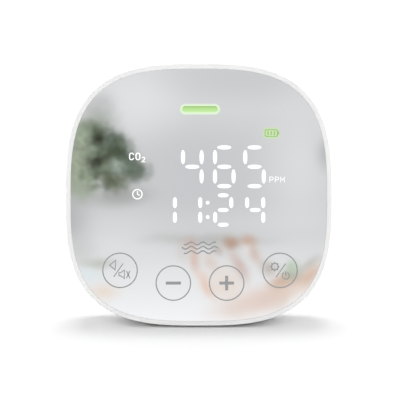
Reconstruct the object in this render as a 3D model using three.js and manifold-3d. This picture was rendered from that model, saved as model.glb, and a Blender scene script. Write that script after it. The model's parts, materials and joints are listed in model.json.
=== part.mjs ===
// A desktop air quality monitor: a squircle mirror face in a thin white bezel, reclined on a pebble-shaped
// rear cover, with the display, touch springs, sensor, battery and charging board inside.
// Millimetres. The finished part has +X across, +Y to the back and +Z up, and stands on z = 0.
// In the reclined group "panel", x runs across the face, y is the depth behind it and z runs up along it.

import * as THREE from "three";
import { mergeVertices } from "three/addons/utils/BufferGeometryUtils.js";
import Module from "manifold-3d";

const wasm = await Module();
wasm.setup();

// ---------------------------------------------------------------- driving dimensions

const RECLINE = THREE.MathUtils.degToRad(8); // the face leans back by this
const FACE_HALF_WIDTH = 50;
const FACE_UP = 50; // from the face's centre to its top
const FACE_DOWN = 48.5; // and to its bottom, which is a little flatter
const SQUIRCLE = 3; // exponent of the face's outline
const BODY_DEPTH = 33;
const SEAM_DEPTH = 9; // where the bezel meets the rear cover
const SEAM_GAP = 0.2;
const SEAM_CHAMFER = 0.3;
const BACK_POWER = 4; // exponent of the rear cover's profile at the top and sides
const HEEL_POWER = 6.5; // and at the bottom, where it is squarer and stands on the table
const WALL = 2;
const FOOT_RISE = 0.6; // how far the feet hold the underside off the table
const FLAT_START = 2; // depth at which the underside becomes flat

const RIM = 1.66; // width of bezel seen around the mirror
const MIRROR_FRONT = 0.35;
const MIRROR_THICKNESS = 2;
const SHELF_FRONT = 2.7; // ledge that the mirror is glued to
const SHELF_BACK = 4.4;
const SHELF_INSET = 9;
const ROOT = 0.2; // how deep the posts and bosses are rooted in the ledge

const BOARD_FRONT = 8.4;
const BOARD_THICKNESS = 1.6;
const BOARD_BACK = BOARD_FRONT + BOARD_THICKNESS;
const BOARD_INSET = 5;
const CLEARANCE = 0.1; // between parts that rest on each other

const OUTLINE_STEPS = 56;
const PROFILE_STEPS = 9;
const ROUND_STEPS = 16; // sides of a small round part
const FAR = 60; // reaches past everything

// places on the face, across and up from its centre
const KEYS = { alarm: [-30.2, -27.6], minus: [-10, -32.4], plus: [10, -32.4], settings: [30.2, -27.6] };
const STATUS_LED = { pitch: 4.4, width: 2, height: 1.25, front: 7.6 };
const STATUS_BAR = { at: [0, 33.1], width: 13.8, height: 2.35 };
const READING = {
  centres: [-2.9, 8.8, 20.5],
  up: 11.4,
  reachAcross: 3.52,
  reachUp: 3.62,
  length: 5.3,
  width: 1.57,
};
const CLOCK = {
  centres: [-12.5, -3, 8.8, 20.8],
  up: -4.9,
  reachAcross: 3.05,
  reachUp: 2.77,
  length: 3.95,
  width: 1.5,
};
const SEGMENTS_OF_A_DIGIT = [
  [0, 2, "flat"],
  [0, 0, "flat"],
  [0, -2, "flat"],
  [-1, 1, "upright"],
  [1, 1, "upright"],
  [-1, -1, "upright"],
  [1, -1, "upright"],
];

// ---------------------------------------------------------------- materials

const finish = (color, roughness, metalness = 0, more = {}) =>
  new THREE.MeshStandardMaterial({ color, roughness, metalness, ...more });

const WHITE_SHELL = finish(0xf2f2f0, 0.42);
const HALF_MIRROR = finish(0xcfd1d5, 0.04, 1);
const RUBBER = finish(0x8f9092, 0.9);
const STEEL = finish(0x9b9da0, 0.35, 1);
const BLACK_STEEL = finish(0x2a2a2c, 0.45, 0.8);
const SPRING_STEEL = finish(0xc9c6bd, 0.3, 1);
const GREEN_BOARD = finish(0x1f5b3a, 0.5);
const WHITE_INNER = finish(0xf7f7f5, 0.6);
const CLEAR_GREEN = finish(0x9edb6e, 0.15, 0, { transparent: true, opacity: 0.8 });
const DIFFUSER = finish(0xe9eaec, 0.7, 0, { transparent: true, opacity: 0.7 });
const BLACK_CHIP = finish(0x1b1c1e, 0.55);
const BLACK_PLASTIC = finish(0x242527, 0.6);
const POUCH = finish(0xb9bcc0, 0.3, 1);
const FOAM = finish(0x3a3b3d, 0.95);
const TAPE = finish(0xe3dfd2, 0.8);
const GOLD = finish(0xc7a252, 0.3, 1);
const MEMBRANE = finish(0xf4f4f2, 0.85);
const RED_WIRE = finish(0xb5221f, 0.5);
const BLACK_WIRE = finish(0x1f1f20, 0.5);

// ---------------------------------------------------------------- solids

/** A closed three.js geometry as a manifold-3d solid. */
function solid(geometry) {
  const loose = geometry.index ? geometry.toNonIndexed() : geometry;
  const bare = new THREE.BufferGeometry().setAttribute("position", loose.getAttribute("position"));
  const merged = mergeVertices(bare, 1e-4);
  const vertProperties = merged.attributes.position.array;
  const triVerts = new Uint32Array(merged.index.array);
  return new wasm.Manifold(new wasm.Mesh({ numProp: 3, vertProperties, triVerts }));
}

/** A manifold-3d solid as a three.js geometry. */
function geometryOf(body) {
  const { vertProperties, triVerts } = body.getMesh();
  return new THREE.BufferGeometry()
    .setAttribute("position", new THREE.BufferAttribute(vertProperties, 3))
    .setIndex(new THREE.BufferAttribute(triVerts, 1));
}

const joined = (first, ...rest) => rest.reduce((all, one) => all.add(one), first);
const cut = (body, ...tools) => tools.reduce((left, tool) => left.subtract(tool), body);

/** Adds a named mesh to a group, from a geometry or a solid. */
function place(group, name, shape, material, position = [0, 0, 0]) {
  const mesh = new THREE.Mesh(shape.isBufferGeometry ? shape : geometryOf(shape), material);
  mesh.name = name;
  mesh.position.set(...position);
  group.add(mesh);
  return mesh;
}

/** A 2-D shape in x and z, given thickness from one depth to another. */
const plate = (shape, front, back) =>
  new THREE.ExtrudeGeometry(shape, { depth: back - front, bevelEnabled: false, curveSegments: 5 })
    .rotateX(Math.PI / 2)
    .translate(0, back, 0);

const block = (across, deep, up) => new THREE.BoxGeometry(across, deep, up);

/** A rod along the depth axis, between two depths. */
const rod = (radius, front, back, [x, z] = [0, 0], sides = ROUND_STEPS) =>
  new THREE.CylinderGeometry(radius, radius, back - front, sides).translate(x, (front + back) / 2, z);

/** A slot with round ends, lying flat or upright by whichever of its sides is longer. */
function stadium([x, z], width, height) {
  const radius = Math.min(width, height) / 2;
  const reach = Math.max(width, height) / 2 - radius;
  const [dx, dz] = width > height ? [reach, 0] : [0, reach];
  const turn = width > height ? -Math.PI / 2 : 0;
  const shape = new THREE.Shape();
  shape.absarc(x + dx, z + dz, radius, turn, turn + Math.PI);
  shape.absarc(x - dx, z - dz, radius, turn + Math.PI, turn + 2 * Math.PI);
  return shape;
}

function rectangle([x, z], width, height) {
  const [w, h] = [width / 2, height / 2];
  return new THREE.Shape([
    new THREE.Vector2(x - w, z - h),
    new THREE.Vector2(x + w, z - h),
    new THREE.Vector2(x + w, z + h),
    new THREE.Vector2(x - w, z + h),
  ]);
}

// ---------------------------------------------------------------- the squircle and what is built on it

/** A point of the face's outline at a polar angle, moved in by inset. */
function outlinePoint(angle, inset) {
  const halfHeight = Math.sin(angle) > 0 ? FACE_UP : FACE_DOWN;
  const across = Math.abs(Math.cos(angle) / (FACE_HALF_WIDTH - inset));
  const up = Math.abs(Math.sin(angle) / (halfHeight - inset));
  const reach = (across ** SQUIRCLE + up ** SQUIRCLE) ** (-1 / SQUIRCLE);
  return [reach * Math.cos(angle), reach * Math.sin(angle)];
}

const ANGLES = Array.from({ length: OUTLINE_STEPS }, (_, i) => (2 * Math.PI * i) / OUTLINE_STEPS);

const outlineRing = (inset, depth) =>
  ANGLES.map((angle) => {
    const [x, z] = outlinePoint(angle, inset);
    return [x, depth, z];
  });

const outlineShape = (inset) =>
  new THREE.Shape(ANGLES.map((angle) => new THREE.Vector2(...outlinePoint(angle, inset))));

/** Triangles between rings of points, each ring joined to the next. */
function stitched(rings, count) {
  const faces = [];
  for (let r = 0; r < rings.length - 1; r++) {
    for (let i = 0; i < count; i++) {
      const next = (i + 1) % count;
      const [a, b, c, d] = [rings[r] + i, rings[r] + next, rings[r + 1] + next, rings[r + 1] + i];
      faces.push(a, c, b, a, d, c);
    }
  }
  return faces;
}

function indexed(points, faces) {
  return new THREE.BufferGeometry()
    .setAttribute("position", new THREE.Float32BufferAttribute(points.flat(), 3))
    .setIndex(faces);
}

/** A closed profile of [inset, depth] points, carried all round the face's outline. */
function frameRing(profile) {
  const points = profile.flatMap(([inset, depth]) => outlineRing(inset, depth));
  const starts = [...profile.keys(), 0].map((i) => i * OUTLINE_STEPS);
  return solid(indexed(points, stitched(starts, OUTLINE_STEPS)));
}

/** The rear cover's profile exponent at a polar angle: square at the heel, round elsewhere. */
function backPower(angle) {
  const down = Math.max(0, -Math.sin(angle));
  return BACK_POWER + (HEEL_POWER - BACK_POWER) * down * down;
}

/** The pebble behind the seam as a closed solid, moved in by inset on every side. */
function pebble(inset, lip) {
  const depth = BODY_DEPTH - SEAM_DEPTH - inset;
  const dome = (turn) =>
    ANGLES.map((angle) => {
      const power = backPower(angle);
      const size = (Math.cos(turn) ** power + Math.sin(turn) ** power) ** (-1 / power);
      const [x, z] = outlinePoint(angle, inset);
      const share = size * Math.cos(turn);
      return [share * x, SEAM_DEPTH + size * Math.sin(turn) * depth, share * z];
    });
  const step = Math.PI / 2 / (PROFILE_STEPS + 1);
  const turns = Array.from({ length: PROFILE_STEPS }, (_, i) => (i + 1) * step);
  const rings = [...lip.map(([extra, at]) => outlineRing(inset + extra, at)), ...turns.map(dome)];
  const points = [...rings.flat(), [0, lip[0][1], 0], [0, SEAM_DEPTH + depth, 0]];
  const front = points.length - 2;
  const starts = rings.map((_, i) => i * OUTLINE_STEPS);
  const faces = stitched(starts, OUTLINE_STEPS);
  const last = starts.at(-1);
  for (let i = 0; i < OUTLINE_STEPS; i++) {
    const next = (i + 1) % OUTLINE_STEPS;
    faces.push(front, i, next, front + 1, last + next, last + i);
  }
  return solid(indexed(points, faces));
}

// ---------------------------------------------------------------- the assembly's groups

const monitor = new THREE.Group();
const panel = new THREE.Group();
panel.rotation.x = -RECLINE;
panel.position.z = FOOT_RISE + FACE_DOWN * Math.cos(RECLINE) + FLAT_START * Math.sin(RECLINE);
monitor.add(panel);
monitor.updateMatrixWorld(true);

const intoPanel = panel.matrixWorld.clone().invert();

/** Everything below a height above the table, as a cutting tool in the panel's frame. */
function below(height) {
  const slab = block(4 * FAR, 4 * FAR, FAR).translate(0, 0, height - FAR / 2);
  return solid(slab.applyMatrix4(intoPanel));
}

/** The depth and height along the panel of a point on the underside, given how far back from the face's
 *  centre line it is in the finished part. */
const onUnderside = (x, back) => new THREE.Vector3(x, back, FOOT_RISE).applyMatrix4(intoPanel);

// ---------------------------------------------------------------- where the fasteners go

const MIRRORED = [
  [-1, 1, "top_left"],
  [1, 1, "top_right"],
  [-1, -1, "bottom_left"],
  [1, -1, "bottom_right"],
];

const COVER_SCREW = {
  across: 34.5,
  up: 34,
  seat: { top: 23.8, bottom: 25.6 },
  tip: 6.2,
  radius: 1.4,
  head: 2.7,
  headHeight: 1.9,
};
const COVER_BOSS = { radius: 3, end: 11.8, floor: 5, pilot: 1.55, boardGap: 0.6, tongueGap: 0.3 };
const COVER_TOWER = { radius: 4.1, end: 12, hole: 1.75, counterbore: 3.1 };

const BOARD_SCREW = { across: 38.8, up: 14, radius: 0.85, head: 1.9, headHeight: 1.3, tip: 5.2, hole: 1.2 };
const BOARD_POST = { radius: 2.6, floor: 4.8, pilot: 1 };

const coverScrewPlaces = MIRRORED.map(([side, level, name]) => ({
  at: [side * COVER_SCREW.across, level * COVER_SCREW.up],
  seat: level > 0 ? COVER_SCREW.seat.top : COVER_SCREW.seat.bottom,
  name,
}));
const boardScrewPlaces = MIRRORED.map(([side, level, name]) => ({
  at: [side * BOARD_SCREW.across, level * BOARD_SCREW.up],
  name,
}));

/** A solid turned about the depth axis, from [radius, depth] points that start and end on the axis. */
const turned = (profile, sides = ROUND_STEPS) =>
  new THREE.LatheGeometry(
    profile.map((point) => new THREE.Vector2(...point)),
    sides,
  );

/** A pan-head screw with a cross recess. Its head faces the back; tip and seat are depths. */
function screw({ radius, head, headHeight }, tip, seat) {
  const top = seat + headHeight;
  const profile = [
    [0, tip],
    [radius, tip],
    [radius, seat],
    [head, seat],
    [head, top - headHeight * 0.45],
    [head * 0.72, top],
    [0, top],
  ];
  const slot = [head * 1.1, headHeight * 1.2, head * 0.26];
  const across = block(...slot).translate(0, top, 0);
  const upright = block(slot[2], slot[1], slot[0]).translate(0, top, 0);
  return cut(solid(turned(profile)), joined(solid(across), solid(upright)));
}

// ---------------------------------------------------------------- front bezel

const BEZEL_PROFILE = [
  [0.9, 0],
  [0.25, 0.25],
  [0, 0.9],
  [0, SEAM_DEPTH - 0.25],
  [0.25, SEAM_DEPTH],
  [WALL + 0.2, SEAM_DEPTH],
  [WALL + 0.2, SHELF_BACK],
  [SHELF_INSET, SHELF_BACK],
  [SHELF_INSET, SHELF_FRONT],
  [RIM, SHELF_FRONT],
  [RIM, 0.22],
  [RIM - 0.12, 0.05],
  [RIM - 0.3, 0],
];

function frontBezel() {
  const bosses = coverScrewPlaces.map(({ at }) =>
    solid(rod(COVER_BOSS.radius, SHELF_FRONT + ROOT, COVER_BOSS.end, at)),
  );
  const posts = boardScrewPlaces.map(({ at }) =>
    solid(rod(BOARD_POST.radius, SHELF_FRONT + ROOT, BOARD_FRONT - CLEARANCE, at)),
  );
  const pilots = [
    ...coverScrewPlaces.map(({ at }) => solid(rod(COVER_BOSS.pilot, COVER_BOSS.floor, FAR, at, 12))),
    ...boardScrewPlaces.map(({ at }) => solid(rod(BOARD_POST.pilot, BOARD_POST.floor, FAR, at, 12))),
  ];
  const ring = joined(frameRing(BEZEL_PROFILE), ...bosses, ...posts);
  return cut(ring, ...pilots, below(FOOT_RISE));
}

place(panel, "front_bezel", frontBezel(), WHITE_SHELL);

// ---------------------------------------------------------------- mirror face

const MIRROR_BACK = MIRROR_FRONT + MIRROR_THICKNESS;
place(panel, "mirror_panel", plate(outlineShape(RIM + 0.15), MIRROR_FRONT, MIRROR_BACK), HALF_MIRROR);

const ADHESIVE = {
  outer: RIM + 0.6,
  inner: SHELF_INSET - 0.6,
  front: MIRROR_BACK + 0.07,
  back: SHELF_FRONT - 0.07,
};
place(
  panel,
  "mirror_adhesive",
  frameRing([
    [ADHESIVE.outer, ADHESIVE.front],
    [ADHESIVE.outer, ADHESIVE.back],
    [ADHESIVE.inner, ADHESIVE.back],
    [ADHESIVE.inner, ADHESIVE.front],
  ]),
  TAPE,
);

// ---------------------------------------------------------------- rear cover

const VENT = { count: 11, pitch: 5, width: 2.2, halfHeight: 9.5, up: 20, reach: 30 };
const INTAKE = { count: 4, first: 13, pitch: 4.6, width: 2.2, height: 8, up: -22 };
const DUST_FILTER = { width: 57, height: 22, front: 27.95, back: 28.35, ledge: 2 };
const SOUND_HOLE = { at: [-31, 3], ring: 2.4, radius: 0.75, count: 6 };
const USB_PORT = { up: -34, width: 8.94, height: 3.26, length: 7.35, mouth: 32, wall: 0.35, floor: 0.8 };
const USB_TONGUE = { width: 6.7, length: 5.4, thickness: 0.7, gap: 0.1 };
const USB_OPENING = { width: USB_PORT.width + 0.8, height: USB_PORT.height + 0.8 };
const USB_BOARD = { width: 19, thickness: 1, front: 16.5, back: 29.2, screwAcross: 7.4, screwDepth: 20 };
const USB_POST = { top: 2.3, foot: 2.9, pilot: 0.95, pilotTop: 0.5, pilotDepth: 7, screwTip: 5.5 };
/** The collar that goes inside the bezel, and the root that joins it to the cover's wall. */
const TONGUE = {
  outer: WALL + 0.4,
  inner: WALL + 1.7,
  front: SEAM_DEPTH - 1.6,
  root: WALL - 0.4,
  start: 0.6,
  end: 2.2,
};
const FEET = {
  radius: 3.2,
  sink: 0.8,
  edge: 0.3,
  gap: 0.2,
  front: { across: 12.5, back: 7 },
  rear: { across: 15, back: 18.8 },
};

const usbBoardTop = USB_PORT.up - USB_PORT.height / 2 - CLEARANCE;
const usbBoardBottom = usbBoardTop - USB_BOARD.thickness;

/** The upper vent's slots, whose ends follow a squircle of their own. */
function ventSlots() {
  return Array.from({ length: VENT.count }, (_, i) => {
    const x = (i - (VENT.count - 1) / 2) * VENT.pitch;
    const height = 2 * VENT.halfHeight * (1 - Math.abs(x / VENT.reach) ** SQUIRCLE) ** (1 / SQUIRCLE);
    return stadium([x, VENT.up], VENT.width, height);
  });
}

function intakeSlots() {
  const places = Array.from({ length: INTAKE.count }, (_, i) => INTAKE.first + i * INTAKE.pitch);
  return places.flatMap((x) => [-x, x]).map((x) => stadium([x, INTAKE.up], INTAKE.width, INTAKE.height));
}

function soundHoles() {
  const { at, ring, radius, count } = SOUND_HOLE;
  const around = Array.from({ length: count }, (_, i) => (2 * Math.PI * i) / count);
  const places = [at, ...around.map((a) => [at[0] + ring * Math.cos(a), at[1] + ring * Math.sin(a)])];
  return places.map((place) => solid(rod(radius, SEAM_DEPTH + 6, FAR, place, 8)));
}

const footPlaces = [
  ["foot_front_left", -FEET.front.across, FEET.front.back],
  ["foot_front_right", FEET.front.across, FEET.front.back],
  ["foot_rear_left", -FEET.rear.across, FEET.rear.back],
  ["foot_rear_right", FEET.rear.across, FEET.rear.back],
];

/** The round recess in the underside that a foot is glued into. */
function footRecess(x, back) {
  const height = FEET.sink + 1;
  const radius = FEET.radius + FEET.gap;
  const tool = new THREE.CylinderGeometry(radius, radius, height, ROUND_STEPS);
  tool.rotateX(Math.PI / 2).translate(x, back, FOOT_RISE + FEET.sink - height / 2);
  return solid(tool.applyMatrix4(intoPanel));
}

/** The raised frame inside the cover that the dust filter is stuck to. */
function filterFrame() {
  const { width, height, back, ledge } = DUST_FILTER;
  const at = [0, VENT.up];
  const face = rectangle(at, width + ledge, height + ledge);
  const rim = solid(plate(face, back + CLEARANCE, BODY_DEPTH - WALL / 2));
  return cut(rim, solid(plate(rectangle(at, width - ledge, height - ledge), 0, FAR)));
}

/** A post that holds up one side of the charging board. */
function usbPost(x) {
  const top = usbBoardBottom - CLEARANCE;
  const floor = onUnderside(x, USB_BOARD.screwDepth).z + WALL / 2;
  const post = new THREE.CylinderGeometry(USB_POST.top, USB_POST.foot, top - floor, ROUND_STEPS);
  post.rotateX(Math.PI / 2).translate(x, USB_BOARD.screwDepth, (top + floor) / 2);
  return solid(post);
}

function rearCover() {
  const seam = SEAM_DEPTH + SEAM_GAP;
  const lip = [
    [SEAM_CHAMFER, seam],
    [0, seam + SEAM_CHAMFER],
  ];
  const outer = cut(pebble(0, lip), below(FOOT_RISE));
  const towers = coverScrewPlaces.map(({ at }) =>
    solid(rod(COVER_TOWER.radius, COVER_TOWER.end, FAR, at)).intersect(outer),
  );
  const hollow = cut(pebble(WALL, [[0, SEAM_DEPTH - 1]]), below(FOOT_RISE + WALL));
  const tongue = frameRing([
    [TONGUE.outer, TONGUE.front],
    [TONGUE.outer, seam + TONGUE.start],
    [TONGUE.root, seam + TONGUE.start],
    [TONGUE.root, seam + TONGUE.end],
    [TONGUE.inner, seam + TONGUE.end],
    [TONGUE.inner, TONGUE.front],
  ]);
  const gapRadius = COVER_BOSS.radius + COVER_BOSS.tongueGap;
  const bossGaps = coverScrewPlaces.map(({ at }) => solid(rod(gapRadius, 0, COVER_TOWER.end, at)));
  const shell = joined(
    cut(outer, hollow),
    cut(tongue, below(FOOT_RISE + WALL / 2), ...bossGaps),
    ...towers,
    filterFrame().intersect(outer),
    usbPost(-USB_BOARD.screwAcross),
    usbPost(USB_BOARD.screwAcross),
  );
  const holes = [...ventSlots(), ...intakeSlots()].map((shape) => solid(plate(shape, SEAM_DEPTH + 6, FAR)));
  const bores = coverScrewPlaces.flatMap(({ at, seat }) => [
    solid(rod(COVER_TOWER.hole, SEAM_DEPTH, FAR, at, 12)),
    solid(rod(COVER_TOWER.counterbore, seat, FAR, at)),
  ]);
  const opening = stadium([0, USB_PORT.up], USB_OPENING.width, USB_OPENING.height);
  const port = solid(plate(opening, SEAM_DEPTH + 6, FAR));
  const recesses = footPlaces.map(([, x, back]) => footRecess(x, back));
  const usbPilots = [-1, 1].map((side) => {
    const middle = usbBoardBottom + USB_POST.pilotTop - USB_POST.pilotDepth / 2;
    const pilot = new THREE.CylinderGeometry(USB_POST.pilot, USB_POST.pilot, USB_POST.pilotDepth, 12);
    pilot.rotateX(Math.PI / 2).translate(side * USB_BOARD.screwAcross, USB_BOARD.screwDepth, middle);
    return solid(pilot);
  });
  return cut(shell, ...holes, ...soundHoles(), ...bores, port, ...recesses, ...usbPilots);
}

place(panel, "rear_cover", rearCover(), WHITE_SHELL);

for (const { at: [x, z], seat, name } of coverScrewPlaces) {
  const fastener = screw(COVER_SCREW, COVER_SCREW.tip, seat + CLEARANCE);
  place(panel, `cover_screw_${name}`, fastener, BLACK_STEEL, [x, 0, z]);
}

const footHeight = FOOT_RISE + FEET.sink - CLEARANCE;
const footProfile = [
  [0, 0],
  [FEET.radius - FEET.edge, 0],
  [FEET.radius, FEET.edge],
  [FEET.radius, footHeight],
  [0, footHeight],
];
for (const [name, x, back] of footPlaces) {
  const foot = turned(footProfile, 24).rotateX(Math.PI / 2);
  place(monitor, name, foot, RUBBER, [x, back, 0]);
}

// ---------------------------------------------------------------- display behind the mirror

const REFLECTOR = { at: [2.8, 7.2], width: 61.5, height: 40.5, front: 3.1, back: BOARD_FRONT - CLEARANCE };
const WINDOWS = [
  rectangle([-23.7, 14.9], 7.4, 4.2), // the gas label
  rectangle([-23.6, 1.1], 4.8, 4.8), // the clock symbol
  rectangle([29, 6.6], 7, 3), // the unit label
  rectangle([27, 24.1], 6.6, 3.8), // the battery symbol
  rectangle([2.9, -2.15], 1.5, 1.5), // the colon
  rectangle([2.9, -7.55], 1.5, 1.5),
];

const segmentCells = ({ centres, up, reachAcross, reachUp, length, width }) =>
  centres.flatMap((x) =>
    SEGMENTS_OF_A_DIGIT.map(([column, row, lie]) => {
      const size = lie === "flat" ? [length, width] : [width, length];
      return rectangle([x + column * reachAcross, up + row * reachUp], ...size);
    }),
  );

function segmentReflector() {
  const outline = rectangle(REFLECTOR.at, REFLECTOR.width, REFLECTOR.height);
  const body = solid(plate(outline, REFLECTOR.front, REFLECTOR.back));
  const cells = [...segmentCells(READING), ...segmentCells(CLOCK), ...WINDOWS];
  return cut(body, ...cells.map((cell) => solid(plate(cell, 0, FAR))));
}

place(panel, "segment_reflector", segmentReflector(), WHITE_INNER);
place(
  panel,
  "diffuser_film",
  plate(
    rectangle(REFLECTOR.at, REFLECTOR.width, REFLECTOR.height),
    SHELF_FRONT + CLEARANCE / 2,
    REFLECTOR.front - CLEARANCE,
  ),
  DIFFUSER,
);
place(
  panel,
  "status_light_pipe",
  plate(
    stadium(STATUS_BAR.at, STATUS_BAR.width, STATUS_BAR.height),
    SHELF_FRONT,
    STATUS_LED.front - CLEARANCE,
  ),
  CLEAR_GREEN,
);
for (const [name, side] of [["status_led_left", -1], ["status_led_middle", 0], ["status_led_right", 1]]) {
  const [x, z] = [STATUS_BAR.at[0] + side * STATUS_LED.pitch, STATUS_BAR.at[1]];
  const body = rectangle([x, z], STATUS_LED.width, STATUS_LED.height);
  place(panel, name, plate(body, STATUS_LED.front, BOARD_FRONT - CLEARANCE), WHITE_INNER);
}

// ---------------------------------------------------------------- main board

function mainBoard() {
  const board = solid(plate(outlineShape(BOARD_INSET), BOARD_FRONT, BOARD_BACK));
  const notch = COVER_BOSS.radius + COVER_BOSS.boardGap;
  const notches = coverScrewPlaces.map(({ at }) => solid(rod(notch, 0, FAR, at)));
  const holes = boardScrewPlaces.map(({ at }) => solid(rod(BOARD_SCREW.hole, 0, FAR, at, 12)));
  return cut(board, ...notches, ...holes);
}

place(panel, "main_board", mainBoard(), GREEN_BOARD);

for (const { at: [x, z], name } of boardScrewPlaces) {
  const fastener = screw(BOARD_SCREW, BOARD_SCREW.tip, BOARD_BACK + CLEARANCE);
  place(panel, `board_screw_${name}`, fastener, STEEL, [x, 0, z]);
}

/** A box-shaped part standing on the back of the main board. */
function onBoard(name, [x, z], [across, up, height], material) {
  place(panel, name, block(across, height, up), material, [x, BOARD_BACK + CLEARANCE + height / 2, z]);
}

onBoard("processor_chip", [-2, -10], [7, 7, 0.9], BLACK_CHIP);
onBoard("display_driver_chip", [-22, -12], [5.3, 8.6, 1.5], BLACK_CHIP);
onBoard("touch_driver_chip", [12, -25], [6, 4.9, 1.5], BLACK_CHIP);
onBoard("clock_crystal", [-12, -12], [3.2, 8, 2.4], STEEL);

// ---------------------------------------------------------------- touch springs

const SPRING = { radius: 3.4, wire: 0.28, turns: 3.5, stepsPerTurn: 8 };

/** A coil about the depth axis. */
class Coil extends THREE.Curve {
  constructor(radius, length, turns) {
    super();
    Object.assign(this, { radius, length, turns });
  }
  getPoint(t, target = new THREE.Vector3()) {
    const angle = 2 * Math.PI * this.turns * t;
    return target.set(this.radius * Math.cos(angle), this.length * t, this.radius * Math.sin(angle));
  }
}

/** A round bar of a given radius along a curve. */
function bar(curve, radius, sides, steps) {
  const circle = new THREE.Shape();
  circle.absarc(0, 0, radius, 0, 2 * Math.PI);
  const section = new THREE.Shape(circle.getSpacedPoints(sides).slice(0, sides));
  return new THREE.ExtrudeGeometry(section, { steps, bevelEnabled: false, extrudePath: curve });
}

const springFront = MIRROR_BACK + SPRING.wire + CLEARANCE;
const springLength = BOARD_FRONT - CLEARANCE - SPRING.wire - springFront;
for (const [key, [x, z]] of Object.entries(KEYS)) {
  const coil = new Coil(SPRING.radius, springLength, SPRING.turns);
  const wire = bar(coil, SPRING.wire, 4, SPRING.turns * SPRING.stepsPerTurn);
  place(panel, `touch_spring_${key}`, wire, SPRING_STEEL, [x, springFront, z]);
}

// ---------------------------------------------------------------- buzzer

const BUZZER = { at: SOUND_HOLE.at, radius: 6, height: 6.5, hole: 1 };
const buzzerTop = BOARD_BACK + CLEARANCE + BUZZER.height;
place(
  panel,
  "buzzer",
  cut(
    solid(rod(BUZZER.radius, BOARD_BACK + CLEARANCE, buzzerTop, BUZZER.at, 28)),
    solid(rod(BUZZER.hole, buzzerTop - 2, FAR, BUZZER.at, 12)),
  ),
  BLACK_PLASTIC,
);

// ---------------------------------------------------------------- gas sensor

const SENSOR = { up: 20, width: 33, height: 20, thickness: 1.2 };
const CHAMBER = { front: 18.4, back: 26.4, halfWidth: 16, slope: 2.4, height: 19 };
const SENSOR_WINDOW = { width: 22, height: 7, thickness: 0.4 };
const HEADER = { across: 14.8, width: 2.5, height: 12.7 };
const sensorBoardFront = CHAMBER.front - CLEARANCE - SENSOR.thickness;

/** The gold-plated light chamber, with the sloped ends of its folded light path. */
function sensorChamber() {
  const { front, back, halfWidth, slope, height } = CHAMBER;
  const profile = [
    [-halfWidth, front],
    [halfWidth, front],
    [halfWidth, back - slope],
    [halfWidth - slope, back],
    [slope - halfWidth, back],
    [-halfWidth, back - slope],
  ];
  const shape = new THREE.Shape(profile.map((point) => new THREE.Vector2(...point)));
  return new THREE.ExtrudeGeometry(shape, { depth: height, bevelEnabled: false });
}

place(panel, "sensor_board", block(SENSOR.width, SENSOR.thickness, SENSOR.height), GREEN_BOARD, [
  0,
  sensorBoardFront + SENSOR.thickness / 2,
  SENSOR.up,
]);
place(panel, "sensor_chamber", sensorChamber(), GOLD, [0, 0, SENSOR.up - CHAMBER.height / 2]);
place(
  panel,
  "sensor_membrane",
  block(SENSOR_WINDOW.width, SENSOR_WINDOW.thickness, SENSOR_WINDOW.height),
  MEMBRANE,
  [0, CHAMBER.back + CLEARANCE + SENSOR_WINDOW.thickness / 2, SENSOR.up],
);

const headerDepth = sensorBoardFront - CLEARANCE - BOARD_BACK - CLEARANCE;
for (const [name, side] of [["sensor_header_left", -1], ["sensor_header_right", 1]]) {
  const size = [HEADER.width, HEADER.height, headerDepth];
  onBoard(name, [side * HEADER.across, SENSOR.up], size, BLACK_PLASTIC);
}

/** The foam frame that closes the space between the sensor and the vent. */
const GASKET = { width: 29.5, height: 18, band: 2.5 };
function sensorGasket() {
  const shape = rectangle([0, SENSOR.up], GASKET.width, GASKET.height);
  const inner = [GASKET.width - 2 * GASKET.band, GASKET.height - 2 * GASKET.band];
  shape.holes = [rectangle([0, SENSOR.up], ...inner)];
  return plate(shape, CHAMBER.back + CLEARANCE, DUST_FILTER.front - CLEARANCE);
}

place(panel, "sensor_gasket", sensorGasket(), FOAM);
place(
  panel,
  "dust_filter",
  plate(
    rectangle([0, VENT.up], DUST_FILTER.width, DUST_FILTER.height),
    DUST_FILTER.front,
    DUST_FILTER.back,
  ),
  FOAM,
);

// ---------------------------------------------------------------- battery and its lead

const BATTERY = {
  width: 48,
  height: 28,
  thickness: 7,
  up: -13,
  front: 22,
  edge: 1,
  sealInset: 4,
  sealRise: 2.5,
};
const BATTERY_TAPE = { width: 34, height: 18, gap: 0.25 };
const batteryBack = BATTERY.front + BATTERY.thickness;

/** A pouch cell: a cushion-edged block with the folded seal along its top. */
function batteryCell() {
  const { width, height, thickness, front, up, edge, sealInset, sealRise } = BATTERY;
  const pillow = new THREE.ExtrudeGeometry(rectangle([0, up], width - 2 * edge, height - 2 * edge), {
    depth: thickness - 2 * edge,
    bevelEnabled: true,
    bevelThickness: edge,
    bevelSize: edge,
    bevelSegments: 3,
  });
  pillow.rotateX(Math.PI / 2).translate(0, front + thickness - edge, 0);
  const seal = block(width - 2 * sealInset, 1, 2 * sealRise);
  seal.translate(0, front + thickness / 2, up + height / 2);
  return joined(solid(pillow), solid(seal));
}

place(panel, "battery_cell", batteryCell(), POUCH);
place(
  panel,
  "battery_tape",
  plate(
    rectangle([0, BATTERY.up], BATTERY_TAPE.width, BATTERY_TAPE.height),
    batteryBack + CLEARANCE,
    BODY_DEPTH - WALL - BATTERY_TAPE.gap,
  ),
  FOAM,
);

const SOCKET = { at: [31, 2], width: 6.2, height: 6.5, depth: 4.8, wall: 0.7, floor: 1.2, plugGap: 0.2 };
const socketFront = BOARD_BACK + CLEARANCE;

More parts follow.
